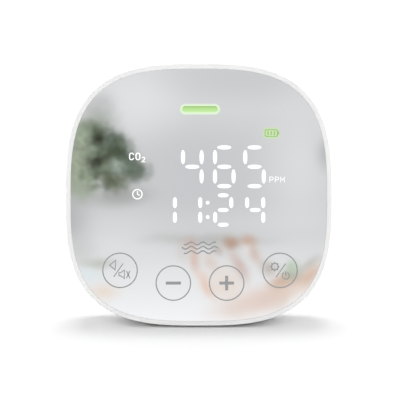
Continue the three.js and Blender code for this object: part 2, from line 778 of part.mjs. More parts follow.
/** The two-pole socket on the board, open at its top. */
function batterySocket() {
  const { at: [x, z], width, height, depth, wall, floor } = SOCKET;
  const middle = socketFront + depth / 2;
  const body = solid(block(width, depth, height).translate(x, middle, z));
  const pocket = solid(block(width - 2 * wall, depth - 2 * wall, height).translate(x, middle, z + floor));
  return cut(body, pocket);
}

const plugUp = SOCKET.at[1] + SOCKET.floor + 2 * SOCKET.plugGap;
const plugInset = 2 * (SOCKET.wall + SOCKET.plugGap);
place(panel, "battery_socket", batterySocket(), WHITE_INNER);
place(
  panel,
  "battery_plug",
  block(SOCKET.width - plugInset, SOCKET.depth - plugInset, SOCKET.height),
  WHITE_INNER,
  [SOCKET.at[0], socketFront + SOCKET.depth / 2, plugUp],
);

const WIRE = { radius: 0.6, sides: 6, steps: 14 };

/** An insulated wire through a list of points. */
function wire(name, points, material) {
  const route = new THREE.CatmullRomCurve3(points.map((point) => new THREE.Vector3(...point)));
  place(panel, name, bar(route, WIRE.radius, WIRE.sides, WIRE.steps), material);
}

const plugTop = plugUp + SOCKET.height / 2 + CLEARANCE;
const cellTop = BATTERY.up + BATTERY.height / 2 + BATTERY.sealRise + 2 * CLEARANCE;
for (const [name, aside, material] of [
  ["battery_lead_red", -0.9, RED_WIRE],
  ["battery_lead_black", 0.9, BLACK_WIRE],
]) {
  wire(
    name,
    [
      [SOCKET.at[0] + aside, socketFront + SOCKET.depth / 2, plugTop],
      [SOCKET.at[0] + aside, socketFront + SOCKET.depth / 2 + 0.4, plugTop + 2.5],
      [SOCKET.at[0] - 3, 16.5, plugTop + 5 + aside],
      [SOCKET.at[0] - 8, 21.5, plugTop + 4.5 + aside],
      [19.5 - aside, 24, cellTop + 3.4],
      [18.5 - aside, BATTERY.front + BATTERY.thickness / 2, cellTop],
    ],
    material,
  );
}

// ---------------------------------------------------------------- charging board

function usbBoard() {
  const { width, thickness, front, back, screwAcross, screwDepth } = USB_BOARD;
  const board = block(width, back - front, thickness);
  board.translate(0, (front + back) / 2, usbBoardBottom + thickness / 2);
  const holes = [-1, 1].map((side) => {
    const hole = new THREE.CylinderGeometry(BOARD_SCREW.hole, BOARD_SCREW.hole, 4 * thickness, 12);
    hole.rotateX(Math.PI / 2);
    return solid(hole.translate(side * screwAcross, screwDepth, usbBoardBottom));
  });
  return cut(solid(board), ...holes);
}

place(panel, "charging_board", usbBoard(), GREEN_BOARD);

const usbFront = USB_PORT.mouth - USB_PORT.length;
function usbShell() {
  const { wall, floor } = USB_PORT;
  const centre = [0, USB_PORT.up];
  const body = solid(plate(stadium(centre, USB_PORT.width, USB_PORT.height), usbFront, USB_PORT.mouth));
  const mouth = stadium(centre, USB_PORT.width - 2 * wall, USB_PORT.height - 2 * wall);
  return cut(body, solid(plate(mouth, usbFront + floor, FAR)));
}

place(panel, "usb_socket_shell", usbShell(), STEEL);
place(
  panel,
  "usb_socket_tongue",
  block(USB_TONGUE.width, USB_TONGUE.length, USB_TONGUE.thickness),
  BLACK_PLASTIC,
  [0, usbFront + USB_PORT.floor + USB_TONGUE.gap + USB_TONGUE.length / 2, USB_PORT.up],
);

/** A box-shaped part standing on the charging board. */
function onUsbBoard(name, [x, depth], [across, deep, height], material) {
  const middle = usbBoardTop + CLEARANCE + height / 2;
  place(panel, name, block(across, deep, height), material, [x, depth, middle]);
}

onUsbBoard("charger_chip", [-3.4, 22.4], [3, 3, 0.9], BLACK_CHIP);
onUsbBoard("charger_coil", [3, 21.6], [4, 4, 2.8], BLACK_PLASTIC);

for (const [name, side] of [["charging_board_screw_left", -1], ["charging_board_screw_right", 1]]) {
  const fastener = screw(BOARD_SCREW, -USB_POST.screwTip, 0);
  place(panel, name, geometryOf(fastener).rotateX(Math.PI / 2), STEEL, [
    side * USB_BOARD.screwAcross,
    USB_BOARD.screwDepth,
    usbBoardTop + CLEARANCE,
  ]);
}

for (const [name, side, material] of [
  ["charging_lead_red", -1, RED_WIRE],
  ["charging_lead_black", 1, BLACK_WIRE],
]) {
  wire(
    name,
    [
      [side * 1.8, USB_BOARD.front + 1.5, usbBoardTop + WIRE.radius + CLEARANCE],
      [side * 1.8, USB_BOARD.front - 0.8, usbBoardTop + WIRE.radius + 0.3],
      [side * 2.4, USB_BOARD.front - 3, usbBoardTop + 3.2],
      [side * 3, BOARD_BACK + 1.6, usbBoardTop + 4.2],
      [side * 3, BOARD_BACK + WIRE.radius, usbBoardTop + 3.6],
    ],
    material,
  );
}

// ---------------------------------------------------------------- the part's origin

// The origin is under the middle of the object, on the table.
const bounds = new THREE.Box3().setFromObject(monitor, true);
const middle = (bounds.min.y + bounds.max.y) / 2;
monitor.children.forEach((child) => child.position.setY(child.position.y - middle));

export default monitor;
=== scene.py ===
"""A desktop air quality monitor: a rounded-square mirror in a thin white bezel, with lit signs on the
mirror, four printed touch keys, and a vented rear cover that stands on rubber feet.

Shapes are written in millimetres in the panel's frame, in which x runs across the face, y is the depth
behind it and z runs up along it. PANEL carries them into the model's frame, in metres."""

import json
import math

import bmesh
import bpy
from mathutils import Matrix, Vector

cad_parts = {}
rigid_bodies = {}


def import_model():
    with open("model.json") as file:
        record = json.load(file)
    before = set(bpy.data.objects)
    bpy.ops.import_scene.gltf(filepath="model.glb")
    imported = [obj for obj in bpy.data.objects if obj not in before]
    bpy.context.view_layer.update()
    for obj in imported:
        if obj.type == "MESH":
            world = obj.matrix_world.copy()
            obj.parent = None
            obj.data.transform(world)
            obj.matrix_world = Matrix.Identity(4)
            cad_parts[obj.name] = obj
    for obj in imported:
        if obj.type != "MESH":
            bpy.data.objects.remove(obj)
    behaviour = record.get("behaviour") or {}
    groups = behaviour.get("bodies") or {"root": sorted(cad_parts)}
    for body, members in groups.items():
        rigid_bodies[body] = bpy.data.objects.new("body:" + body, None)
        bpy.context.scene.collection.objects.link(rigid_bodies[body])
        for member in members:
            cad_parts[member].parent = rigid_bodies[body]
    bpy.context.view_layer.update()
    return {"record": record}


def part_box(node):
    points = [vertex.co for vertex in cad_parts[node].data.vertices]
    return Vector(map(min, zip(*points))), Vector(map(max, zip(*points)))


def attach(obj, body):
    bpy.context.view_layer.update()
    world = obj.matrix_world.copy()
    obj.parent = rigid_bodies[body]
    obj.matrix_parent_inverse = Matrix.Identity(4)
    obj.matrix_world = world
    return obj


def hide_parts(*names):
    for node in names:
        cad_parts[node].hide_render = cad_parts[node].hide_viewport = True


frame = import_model()

MM = 0.001

# ------------ driving dimensions, as in the CAD model

RECLINE = math.radians(8)
FACE_HALF_WIDTH = 50
FACE_UP = 50
FACE_DOWN = 48.5
SQUIRCLE = 3
BODY_DEPTH = 33
SEAM_DEPTH = 9
SEAM_GAP = 0.2
BACK_POWER = 4
HEEL_POWER = 6.5
WALL = 2
FOOT_RISE = 0.6

RIM = 1.66
MIRROR_FRONT = 0.35
MIRROR_THICKNESS = 2
SHELF_FRONT = 2.7
SHELF_BACK = 4.4
SHELF_INSET = 9
BOARD_FRONT = 8.4

OUTLINE_STEPS = 288
DOME_STEPS = 30
ROUND_STEPS = 48
FAR = 60

# ------------ the panel's frame


def panel_matrix():
    """The panel's place in the model, found from the mirror's box."""
    lowest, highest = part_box("mirror_panel")
    inset = (RIM + 0.15) * MM
    top = FACE_UP * MM - inset
    bottom = FACE_DOWN * MM - inset
    front = MIRROR_FRONT * MM
    y = lowest.y - front * math.cos(RECLINE) + bottom * math.sin(RECLINE)
    z = highest.z - top * math.cos(RECLINE) + front * math.sin(RECLINE)
    return Matrix.Translation((0, y, z)) @ Matrix.Rotation(-RECLINE, 4, "X")


PANEL = panel_matrix()
TABLE_NORMAL = PANEL.inverted().to_3x3() @ Vector((0, 0, 1))
TABLE_POINT = PANEL.inverted() @ Vector((0, 0, 0)) / MM


def height_over_table(x, y, z):
    return (Vector((x, y, z)) - TABLE_POINT).dot(TABLE_NORMAL)


# ------------ meshes


def object_from(name, bm):
    """A new object in the scene from a bmesh, which it frees."""
    mesh = bpy.data.meshes.new(name)
    bm.to_mesh(mesh)
    bm.free()
    obj = bpy.data.objects.new(name, mesh)
    bpy.context.scene.collection.objects.link(obj)
    return obj


def new_bmesh(points, faces, scale=MM):
    """A bmesh from points in millimetres and lists of their indices."""
    bm = bmesh.new()
    verts = [bm.verts.new(Vector(point) * scale) for point in points]
    for face in faces:
        bm.faces.new([verts[i] for i in face])
    return bm


def piece(name, bm, slot, *replaced, material=None, sharp=35, matrix=PANEL):
    """A finished piece from a bmesh in metres, smooth except at edges sharper than that many degrees. It
    rides the root, has its slot's own material unless it is given one, and may replace a node of the CAD
    model."""
    bmesh.ops.recalc_face_normals(bm, faces=bm.faces)
    obj = object_from(name, bm)
    obj.data.shade_smooth()
    obj.data.set_sharp_from_angle(angle=math.radians(sharp))
    obj.data.materials.append(material or MATERIALS[slot])
    obj.matrix_world = matrix
    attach(obj, "root")
    if replaced:
        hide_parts(*replaced)


def arc(centre, radius, start, end, steps):
    """Points of an arc, with its angles in degrees."""
    angles = [math.radians(start + (end - start) * i / steps) for i in range(steps + 1)]
    return [(centre[0] + radius * math.cos(a), centre[1] + radius * math.sin(a)) for a in angles]


def outline_point(angle):
    half_height = FACE_UP if math.sin(angle) > 0 else FACE_DOWN
    across = abs(math.cos(angle)) / FACE_HALF_WIDTH
    up = abs(math.sin(angle)) / half_height
    reach = (across**SQUIRCLE + up**SQUIRCLE) ** (-1 / SQUIRCLE)
    return Vector((reach * math.cos(angle), reach * math.sin(angle)))


def outline_normal(point):
    half_height = FACE_UP if point.y > 0 else FACE_DOWN
    across = math.copysign(abs(point.x / FACE_HALF_WIDTH) ** (SQUIRCLE - 1) / FACE_HALF_WIDTH, point.x)
    up = math.copysign(abs(point.y / half_height) ** (SQUIRCLE - 1) / half_height, point.y)
    return Vector((across, up)).normalized()


ANGLES = [2 * math.pi * (i + 0.5) / OUTLINE_STEPS for i in range(OUTLINE_STEPS)]
OUTLINE = [outline_point(angle) for angle in ANGLES]
NORMALS = [outline_normal(point) for point in OUTLINE]


def over_flat(x, y, z, rise):
    """z, raised where the underside is cut flat, with a softened edge."""
    short = rise - height_over_table(x, y, z)
    soft = 0.12
    return z + (short + math.sqrt(short * short + soft * soft)) / 2 if short > -2 else z


def outline_ring(inset, depth, rise=None):
    ring = []
    for point, normal in zip(OUTLINE, NORMALS):
        x, z = point - normal * inset
        ring.append((x, depth, z if rise is None else over_flat(x, depth, z, rise)))
    return ring


def back_power(angle):
    down = max(0, -math.sin(angle))
    return BACK_POWER + (HEEL_POWER - BACK_POWER) * down * down


def dome_ring(turn, inset, rise):
    """A ring of the rear cover's dome, at a turn from 0 at the seam to a right angle at its pole."""
    depth = BODY_DEPTH - SEAM_DEPTH - inset
    ring = []
    for angle, point, normal in zip(ANGLES, OUTLINE, NORMALS):
        power = back_power(angle)
        size = (math.cos(turn) ** power + math.sin(turn) ** power) ** (-1 / power)
        x, z = (point - normal * inset) * size * math.cos(turn)
        y = SEAM_DEPTH + size * math.sin(turn) * depth
        ring.append((x, y, over_flat(x, y, z, rise)))
    return ring


def stitched(rings, closed):
    """Points and faces that join rings of equal length. Closed, the last joins the first, and otherwise
    both ends are capped."""
    count = len(rings[0])
    points = [point for ring in rings for point in ring]
    faces = []
    for r in range(len(rings) if closed else len(rings) - 1):
        here = r * count
        there = (r + 1) % len(rings) * count
        for i in range(count):
            j = (i + 1) % count
            faces.append((here + i, there + i, there + j, here + j))
    if not closed:
        faces.append(tuple(range(count)))
        faces.append(tuple(range(len(points) - 1, len(points) - count - 1, -1)))
    return points, faces


def solid(rings):
    """A solid with caps on its first and last rings."""
    return new_bmesh(*stitched(rings, closed=False))


def hollow(rings):
    """A solid with a hole through it, whose last ring joins its first."""
    return new_bmesh(*stitched(rings, closed=True))


def at_depths(*pairs):
    """Rings from pairs of an outline of (x, z) points and its depth."""
    return [[(x, depth, z) for x, z in outline] for outline, depth in pairs]


def ring_solid(profile, rise=None):
    """A closed profile of (inset, depth) points, carried all round the face's outline."""
    return hollow([outline_ring(inset, depth, rise) for inset, depth in profile])


def plate_solid(profile):
    """A plate with the face's outline, from its front edge profile to its back one."""
    return solid([outline_ring(inset, depth) for inset, depth in profile])


def turned(profile, steps=ROUND_STEPS):
    """A solid turned about the depth axis, from (radius, depth) points between its two ends."""
    angles = [2 * math.pi * i / steps for i in range(steps)]
    return solid([[(r * math.cos(a), y, r * math.sin(a)) for a in angles] for r, y in profile])


def extruded(outline, front, back):
    """A prism from an outline of (x, z) points, between two depths."""
    return solid(at_depths((outline, front), (outline, back)))


def framed(outer, inner, front, back):
    """A frame between two outlines and two depths."""
    return hollow(at_depths((outer, front), (inner, front), (inner, back), (outer, back)))


def moved(bm, offset):
    bmesh.ops.translate(bm, verts=bm.verts, vec=Vector(offset) * MM)
    return bm


def merged(*parts):
    """One bmesh from several, which it frees."""
    whole = bmesh.new()
    for part in parts:
        mesh = bpy.data.meshes.new("part")
        bmesh.ops.recalc_face_normals(part, faces=part.faces)
        part.to_mesh(mesh)
        part.free()
        whole.from_mesh(mesh)
        bpy.data.meshes.remove(mesh)
    return whole


def combined(base, tool, operation):
    """The exact boolean of two bmeshes, both of which it frees."""
    objects = []
    for bm in (base, tool):
        bmesh.ops.recalc_face_normals(bm, faces=bm.faces)
        objects.append(object_from("boolean", bm))
    target, cutter = objects
    modifier = target.modifiers.new("boolean", "BOOLEAN")
    modifier.operation = operation
    modifier.solver = "EXACT"
    modifier.use_self = True
    modifier.object = cutter
    bpy.context.view_layer.update()
    evaluated = target.evaluated_get(bpy.context.evaluated_depsgraph_get())
    result = bmesh.new()
    result.from_mesh(evaluated.to_mesh())
    for obj in objects:
        mesh = obj.data
        bpy.data.objects.remove(obj)
        bpy.data.meshes.remove(mesh)
    return result


def stadium(centre, width, height, steps=12):
    """The outline of a slot with round ends, lying along its longer side."""
    radius = min(width, height) / 2
    reach = max(width, height) / 2 - radius
    across, up, start = (reach, 0, -90) if width > height else (0, reach, 0)
    first = arc((centre[0] + across, centre[1] + up), radius, start, start + 180, steps)
    return first + arc((centre[0] - across, centre[1] - up), radius, start + 180, start + 360, steps)


def rectangle(centre, width, height):
    w, h = width / 2, height / 2
    return [(centre[0] + x, centre[1] + z) for x, z in ((-w, -h), (w, -h), (w, h), (-w, h))]


def superellipse(centre, across, up, power_across, power_up, steps=48):
    """A closed outline whose two exponents set how blunt it is."""
    points = []
    for i in range(steps):
        angle = 2 * math.pi * (i + 0.5) / steps
        x = math.copysign(abs(math.cos(angle)) ** (2 / power_across), math.cos(angle))
        z = math.copysign(abs(math.sin(angle)) ** (2 / power_up), math.sin(angle))
        points.append((centre[0] + x * across / 2, centre[1] + z * up / 2))
    return points


# ------------ flat marks


class Marks:
    """Flat shapes in the face's plane, which become one thin raised piece."""

    def __init__(self):
        self.outlines = []
        self.bands = []

    def polygon(self, outline):
        self.outlines.append(outline)
        return self

    def band(self, outer, inner):
        self.bands.append((outer, inner))
        return self

    def circle_line(self, centre, radius, width, steps=96):
        """A line round a circle of that outer radius."""
        return self.band(*[arc(centre, r, 0, 360, steps)[:-1] for r in (radius, radius - width)])

    def line(self, points, width, closed=False):
        """A line of one width along points, mitred at its corners and with round ends."""
        points = [Vector(p) for p in points]
        count = len(points)
        left, right = [], []
        for i, point in enumerate(points):
            before = points[i - 1] if closed or i > 0 else None
            after = points[(i + 1) % count] if closed or i < count - 1 else None
            ways = [(b - a).normalized() for a, b in ((before, point), (point, after)) if a and b]
            way = sum(ways, Vector((0, 0))).normalized()
            side = Vector((-way.y, way.x))
            stretch = 1 / max(0.5, side.dot(Vector((-ways[0].y, ways[0].x))))
            left.append(point + side * width / 2 * stretch)
            right.append(point - side * width / 2 * stretch)
        if closed:
            return self.band(left, right)
        ends = [self.end_cap(points[-1], points[-2], width), self.end_cap(points[0], points[1], width)]
        return self.polygon(left + ends[0] + right[::-1] + ends[1])

    @staticmethod
    def end_cap(end, inner, width):
        way = end - inner
        heading = math.degrees(math.atan2(way.y, way.x))
        return [Vector(p) for p in arc(end, width / 2, heading + 90, heading - 90, 8)[1:-1]]

    def bmesh(self, front, back):
        solids = [extruded(outline, front, back) for outline in self.outlines]
        return merged(*solids, *[framed(outer, inner, front, back) for outer, inner in self.bands])


# ------------ materials


def srgb(red, green, blue):
    """A colour given as it looks on a screen, from 0 to 255, as linear light."""
    parts = [c / 255 for c in (red, green, blue)]
    return tuple(p / 12.92 if p <= 0.04045 else ((p + 0.055) / 1.055) ** 2.4 for p in parts) + (1,)


def times(colour, factor):
    """A colour made lighter or darker."""
    return tuple(min(1, c * factor) for c in colour[:3]) + (1,)


def socket_name(key):
    """A socket's name on the shader, from a lower-case key."""
    return key.replace("_", " ").title().replace("Ior", "IOR")


class Nodes:
    """A node tree, with short calls for the nodes used here. A value for an input is a number, a colour, a
    vector or another node's output."""

    def __init__(self, tree):
        self.tree = tree

    def feed(self, socket, value):
        if isinstance(value, bpy.types.NodeSocket):
            self.tree.links.new(value, socket)
        else:
            socket.default_value = value

    def node(self, kind, inputs=None, **settings):
        """A new node, with values for its inputs and settings of its own."""
        made = self.tree.nodes.new(kind)
        for key, value in settings.items():
            setattr(made, key, value)
        for socket, value in (inputs or {}).items():
            self.feed(made.inputs[socket], value)
        return made

    def place(self):
        """Object coordinates, in metres."""
        found = self.tree.nodes.get("place")
        return (found or self.node("ShaderNodeTexCoord", name="place")).outputs["Object"]

    def axes(self, vector):
        return self.node("ShaderNodeSeparateXYZ", {"Vector": vector}).outputs

    def stretched(self, scale, rotation=(0, 0, 0)):
        """Object coordinates, scaled and turned."""
        inputs = {"Vector": self.place(), "Scale": scale, "Rotation": rotation}
        return self.node("ShaderNodeMapping", inputs).outputs["Vector"]

    def noise(self, scale, detail=3, roughness=0.5, vector=None, output="Fac"):
        inputs = {"Vector": vector or self.place(), "Scale": scale, "Detail": detail, "Roughness": roughness}
        return self.node("ShaderNodeTexNoise", inputs).outputs[output]

    def cells(self, scale):
        return self.node("ShaderNodeTexVoronoi", {"Vector": self.place(), "Scale": scale}).outputs["Distance"]

    def between(self, value, low, high, start=0.0, end=1.0, smooth=False):
        """value, taken from start..end to low..high."""
        inputs = {"Value": value, "From Min": start, "From Max": end, "To Min": low, "To Max": high}
        kind = "SMOOTHSTEP" if smooth else "LINEAR"
        return self.node("ShaderNodeMapRange", inputs, interpolation_type=kind).outputs["Result"]

    def ramp(self, value, *stops):
        """A colour ramp from (position, colour) stops."""
        made = self.node("ShaderNodeValToRGB", {"Fac": value})
        elements = made.color_ramp.elements
        while len(elements) < len(stops):
            elements.new(0.5)
        for element, (position, colour) in zip(elements, stops):
            element.position = position
            element.color = colour
        return made.outputs["Color"]

    def math(self, operation, *values):
        return self.node("ShaderNodeMath", dict(enumerate(values)), operation=operation).outputs["Value"]

    def vector_math(self, operation, *values):
        made = self.node("ShaderNodeVectorMath", dict(enumerate(values)), operation=operation)
        return made.outputs["Vector"]

    def mix(self, factor, first, second, blend="MIX"):
        inputs = {"Factor": factor, 6: first, 7: second}
        return self.node("ShaderNodeMix", inputs, data_type="RGBA", blend_type=blend).outputs[2]

    def bump(self, height, distance, strength=1.0):
        inputs = {"Height": height, "Distance": distance, "Strength": strength}
        return self.node("ShaderNodeBump", inputs).outputs["Normal"]


class Shader(Nodes):
    """A material, and values for its surface's sockets by their names."""

    def __init__(self, name, **sockets):
        self.material = bpy.data.materials.new(name)
        self.material.use_nodes = True
        super().__init__(self.material.node_tree)
        self.surface = self.tree.nodes["Principled BSDF"]
        self.set(**sockets)

    def set(self, **sockets):
        for key, value in sockets.items():
            self.feed(self.surface.inputs[socket_name(key)], value)
        return self.material


def varied(name, colour, spread, roughness, metallic, scale, bump, stretch=(1, 1, 1)):
    """A surface whose colour and gloss drift a little, with a fine grain."""
    shader = Shader(name, metallic=metallic)
    place = shader.stretched(stretch)
    grain = shader.noise(scale, 4, 0.6, place)
    drift = shader.noise(scale / 12, 3, 0.5, place)
    return shader.set(
        base_color=shader.ramp(drift, (0.3, times(colour, 1 - spread)), (0.7, times(colour, 1 + spread))),
        roughness=shader.between(grain, roughness * 0.85, min(1, roughness * 1.15), 0.3, 0.7),
        normal=shader.bump(grain, bump),
    )


def white_plastic():
    """White moulded plastic with a fine spark-eroded texture."""
    shader = Shader("white_shell", specular_ior_level=0.45)
    grain = shader.noise(5200, 2, 0.55)
    cloud = shader.noise(45, 3)
    specks = shader.cells(2600)
    texture = shader.math("ADD", grain, shader.math("MULTIPLY", specks, 0.5))
    return shader.set(
        base_color=shader.ramp(cloud, (0.3, srgb(215, 215, 215)), (0.7, srgb(220, 220, 219))),
        roughness=shader.between(shader.math("ADD", grain, cloud), 0.4, 0.56, 0.7, 1.3),
        normal=shader.bump(texture, 0.000012, 0.6),
    )


MIRROR_TINT = (0.8, 0.803, 0.806, 1)
MIRROR_ROUGHNESS = 0.02


def half_mirror():
    """Half-silvered glass with the faintest smudges."""
    shader = Shader("half_mirror", metallic=1.0)
    smudge = shader.noise(38, 5, 0.6)
    wipe = shader.noise(120, 4, 0.6, shader.stretched((1, 1, 5), (0, math.radians(25), 0)))
    both = shader.math("ADD", smudge, wipe)
    return shader.set(
        base_color=shader.ramp(both, (0.35, MIRROR_TINT), (0.75, times(MIRROR_TINT, 0.992))),
        roughness=shader.between(both, MIRROR_ROUGHNESS * 0.8, MIRROR_ROUGHNESS * 1.3, 0.7, 1.3),
    )


def ink(name, colour):
    """Printed ink with slightly uneven cover."""
    shader = Shader(name, specular_ior_level=0.3)
    cover = shader.noise(2400, 3)
    return shader.set(
        base_color=shader.ramp(cover, (0.35, colour), (0.7, times(colour, 1.08))),
        roughness=shader.between(cover, 0.5, 0.65, 0.3, 0.7),
    )


def lamp(name, colour, strength):
    """A lit sign, a touch uneven as light through a film is."""
    shader = Shader(name, base_color=(0.02, 0.02, 0.02, 1), roughness=0.3, emission_strength=strength)
    cloud = shader.noise(700, 2)
    return shader.set(emission_color=shader.ramp(cloud, (0.3, times(colour, 0.94)), (0.65, colour)))


def status_light(centre_up, height):
    """The green bar, darker along its top edge."""
    shader = Shader("green_light", base_color=(0.02, 0.03, 0.02, 1), roughness=0.25, emission_strength=1.0)
    low, high = (centre_up - height / 2) * MM, (centre_up + height / 2) * MM
    up = shader.between(shader.axes(shader.place())["Z"], 0, 1, low, high)
    greens = {0.0: (200, 236, 172), 0.35: (184, 224, 146), 0.72: (172, 214, 130), 1.0: (142, 180, 104)}
    stops = [(position, srgb(*green)) for position, green in greens.items()]
    return shader.set(emission_color=shader.ramp(up, *stops))


def glow(name, centre, half_length, half_width, start, end, colour):
    """The mirror's own surface, with light that spreads through it from a bar's core rectangle. The light is
    full out to start and gone at end, both measured from the core."""
    shader = Shader(name, metallic=1.0, roughness=MIRROR_ROUGHNESS, emission_color=colour)
    place = shader.axes(shader.place())
    squares = []
    for axis, middle, half in (("X", centre[0], half_length), ("Z", centre[1], half_width)):
        aside = shader.math("ABSOLUTE", shader.math("SUBTRACT", place[axis], middle * MM))
        beyond = shader.math("MAXIMUM", shader.math("SUBTRACT", aside, half * MM), 0.0)
        squares.append(shader.math("POWER", beyond, 2.0))
    away = shader.math("SQRT", shader.math("ADD", *squares))
    fade = shader.between(away, 1.0, 0.0, start * MM, end * MM, smooth=True)
    return shader.set(base_color=shader.mix(fade, MIRROR_TINT, (0, 0, 0, 1)), emission_strength=fade)


def circuit_board():
    """Green solder mask over a faint net of tracks."""
    shader = Shader("circuit_board", coat_weight=0.2, coat_roughness=0.2)
    upright = shader.stretched((1, 1, 1), (math.pi / 2, 0, 0))
    net = {"Vector": upright, "Scale": 260, "Mortar Size": 0.05, "Brick Width": 1.6, "Row Height": 0.5}
    tracks = shader.node("ShaderNodeTexBrick", net, offset=0.35).outputs["Fac"]
    cloud = shader.noise(160, 3)
    mask = shader.ramp(cloud, (0.3, srgb(26, 92, 58)), (0.7, srgb(34, 106, 66)))
    return shader.set(
        base_color=shader.mix(tracks, mask, srgb(52, 132, 82)),
        roughness=shader.between(cloud, 0.3, 0.45, 0.3, 0.7),
        normal=shader.bump(tracks, 0.00003, 0.5),
    )


def foam():
    """Open-cell foam."""
    shader = Shader("dark_foam", specular_ior_level=0.2)
    cells = shader.cells(2600)
    return shader.set(
        base_color=shader.ramp(cells, (0.1, srgb(38, 38, 40)), (0.6, srgb(84, 85, 88))),
        roughness=shader.between(cells, 0.85, 1.0, 0.0, 0.6),
        normal=shader.bump(cells, 0.00015, 0.8),
    )


def foot_rubber():
    """Grey moulded rubber with a dusty bloom."""
    shader = Shader("foot_rubber", specular_ior_level=0.3)
    grain = shader.noise(3200, 3, 0.6)
    dust = shader.noise(420, 4, 0.6)
    return shader.set(
        base_color=shader.ramp(dust, (0.35, srgb(128, 130, 133)), (0.75, srgb(158, 160, 162))),
        roughness=shader.between(grain, 0.7, 0.9, 0.3, 0.7),
        normal=shader.bump(grain, 0.00002, 0.6),
    )


BRUSHED = (1, 1, 14)
# Colour, how far it drifts, roughness, metal, the grain's scale and depth, and how the grain is stretched.
PLAIN = {
    "black_steel": ((52, 52, 55), 0.15, 0.42, 0.9, 1800, 0.000008),
    "bright_steel": ((200, 201, 204), 0.06, 0.3, 1.0, 1500, 0.000006, BRUSHED),
    "spring_steel": ((214, 210, 200), 0.06, 0.26, 1.0, 2400, 0.000005),
    "white_inner": ((243, 243, 241), 0.02, 0.6, 0.0, 1500, 0.00001),
    "display_light": ((240, 242, 245), 0.015, 0.5, 0.0, 2200, 0.000004),
    "green_light": ((170, 214, 128), 0.05, 0.18, 0.0, 900, 0.000004),
    "black_chip": ((40, 41, 43), 0.14, 0.6, 0.0, 4200, 0.000012),
    "black_plastic": ((46, 47, 49), 0.1, 0.5, 0.0, 2600, 0.00001),
    "cell_pouch": ((204, 206, 210), 0.04, 0.3, 0.9, 260, 0.00008),
    "adhesive": ((232, 228, 216), 0.03, 0.75, 0.0, 1400, 0.00001),
    "gold_plate": ((224, 190, 112), 0.06, 0.28, 1.0, 1300, 0.000008, BRUSHED),
    "white_membrane": ((244, 244, 242), 0.02, 0.9, 0.0, 5200, 0.00002),
    "red_insulation": ((186, 34, 30), 0.06, 0.45, 0.0, 1600, 0.000008),
    "black_insulation": ((36, 36, 37), 0.1, 0.45, 0.0, 1600, 0.000008),
}
MATERIALS = {
    "white_shell": white_plastic(),
    "half_mirror": half_mirror(),
    "foot_rubber": foot_rubber(),
    "circuit_board": circuit_board(),
    "dark_foam": foam(),
}
for slot, (tone, *grain) in PLAIN.items():
    name = "green_light_pipe" if slot == "green_light" else slot
    MATERIALS[slot] = varied(name, srgb(*tone), *grain)

# ------------ bezel and mirror

CORNERS = [(-1, 1, "top_left"), (1, 1, "top_right"), (-1, -1, "bottom_left"), (1, -1, "bottom_right")]
COVER_SCREW = {"across": 34.5, "up": 34, "head": 2.7, "height": 1.9, "radius": 1.4}
COVER_SCREW_SEAT = {1: 23.8, -1: 25.6}  # the upper ones' depth and the lower ones'
BOSS = {"across": 34.5, "up": 34, "radius": 3, "hole": 1.55, "end": 11.8}
BOARD_POST = {"across": 38.8, "up": 14, "radius": 2.6, "hole": 1, "end": BOARD_FRONT - 0.1}


def at_corner(bm, side, level, sizes):
    """A part made at the middle, moved to its corner."""
    return moved(bm, (side * sizes["across"], 0, level * sizes["up"]))


def posts(sizes):
    """Four round posts on the bezel's ledge, each with a blind hole in its back end."""
    radius, hole, back = sizes["radius"], sizes["hole"], sizes["end"]
    front = SHELF_FRONT + 0.3
    profile = [(radius, front), (radius, back - 0.2), (radius - 0.2, back), (hole, back), (hole, front + 2)]
    return [at_corner(turned(profile), side, level, sizes) for side, level, _ in CORNERS]


def front_bezel():
    edge = 0.3
    lip = 0.1
    chamfer = 0.25
    profile = [
        *arc((edge, edge), edge, 270, 180, 10),
        (0, SEAM_DEPTH - chamfer),
        (chamfer, SEAM_DEPTH),
        (WALL + 0.2, SEAM_DEPTH),
        (WALL + 0.2, SHELF_BACK),
        (SHELF_INSET, SHELF_BACK),
        (SHELF_INSET, SHELF_FRONT),
        (RIM, SHELF_FRONT),
        *arc((RIM - lip, lip), lip, 0, -90, 6),
    ]
    bm = combined(ring_solid(profile, FOOT_RISE), merged(*posts(BOSS), *posts(BOARD_POST)), "UNION")
    piece("bezel_ring", bm, "white_shell", "front_bezel")


def mirror_pane():
    inset = RIM + 0.02
    edge = 0.03
    back = MIRROR_FRONT + MIRROR_THICKNESS
    profile = [
        *arc((inset + edge, MIRROR_FRONT + edge), edge, 270, 180, 5),
        *arc((inset + edge, back - edge), edge, 180, 90, 5),
    ]
    piece("mirror_glass", plate_solid(profile), "half_mirror", "mirror_panel", sharp=8)


front_bezel()
mirror_pane()

# ------------ what is seen on the mirror

PRINT_SHIFT = 0.45  # the prints and signs sit this far right of the pane's middle
PRINT_LIFT = 0.025
GLOW_LIFT = 0.012

INK = ink("key_ink", srgb(138, 140, 141))
WHITE_LIGHT = lamp("display_white", (1, 1, 1, 1), 1.15)
GREEN_LINE = lamp("battery_line", srgb(150, 190, 112), 1.0)


def on_glass(name, marks, material=WHITE_LIGHT, slot="display_light", lift=PRINT_LIFT):
    """Marks as one thin raised piece on the mirror, lit white unless they are given a material."""
    bm = marks.bmesh(MIRROR_FRONT - lift, MIRROR_FRONT + 0.01)
    piece(name, moved(bm, (PRINT_SHIFT, 0, 0)), slot, material=material)


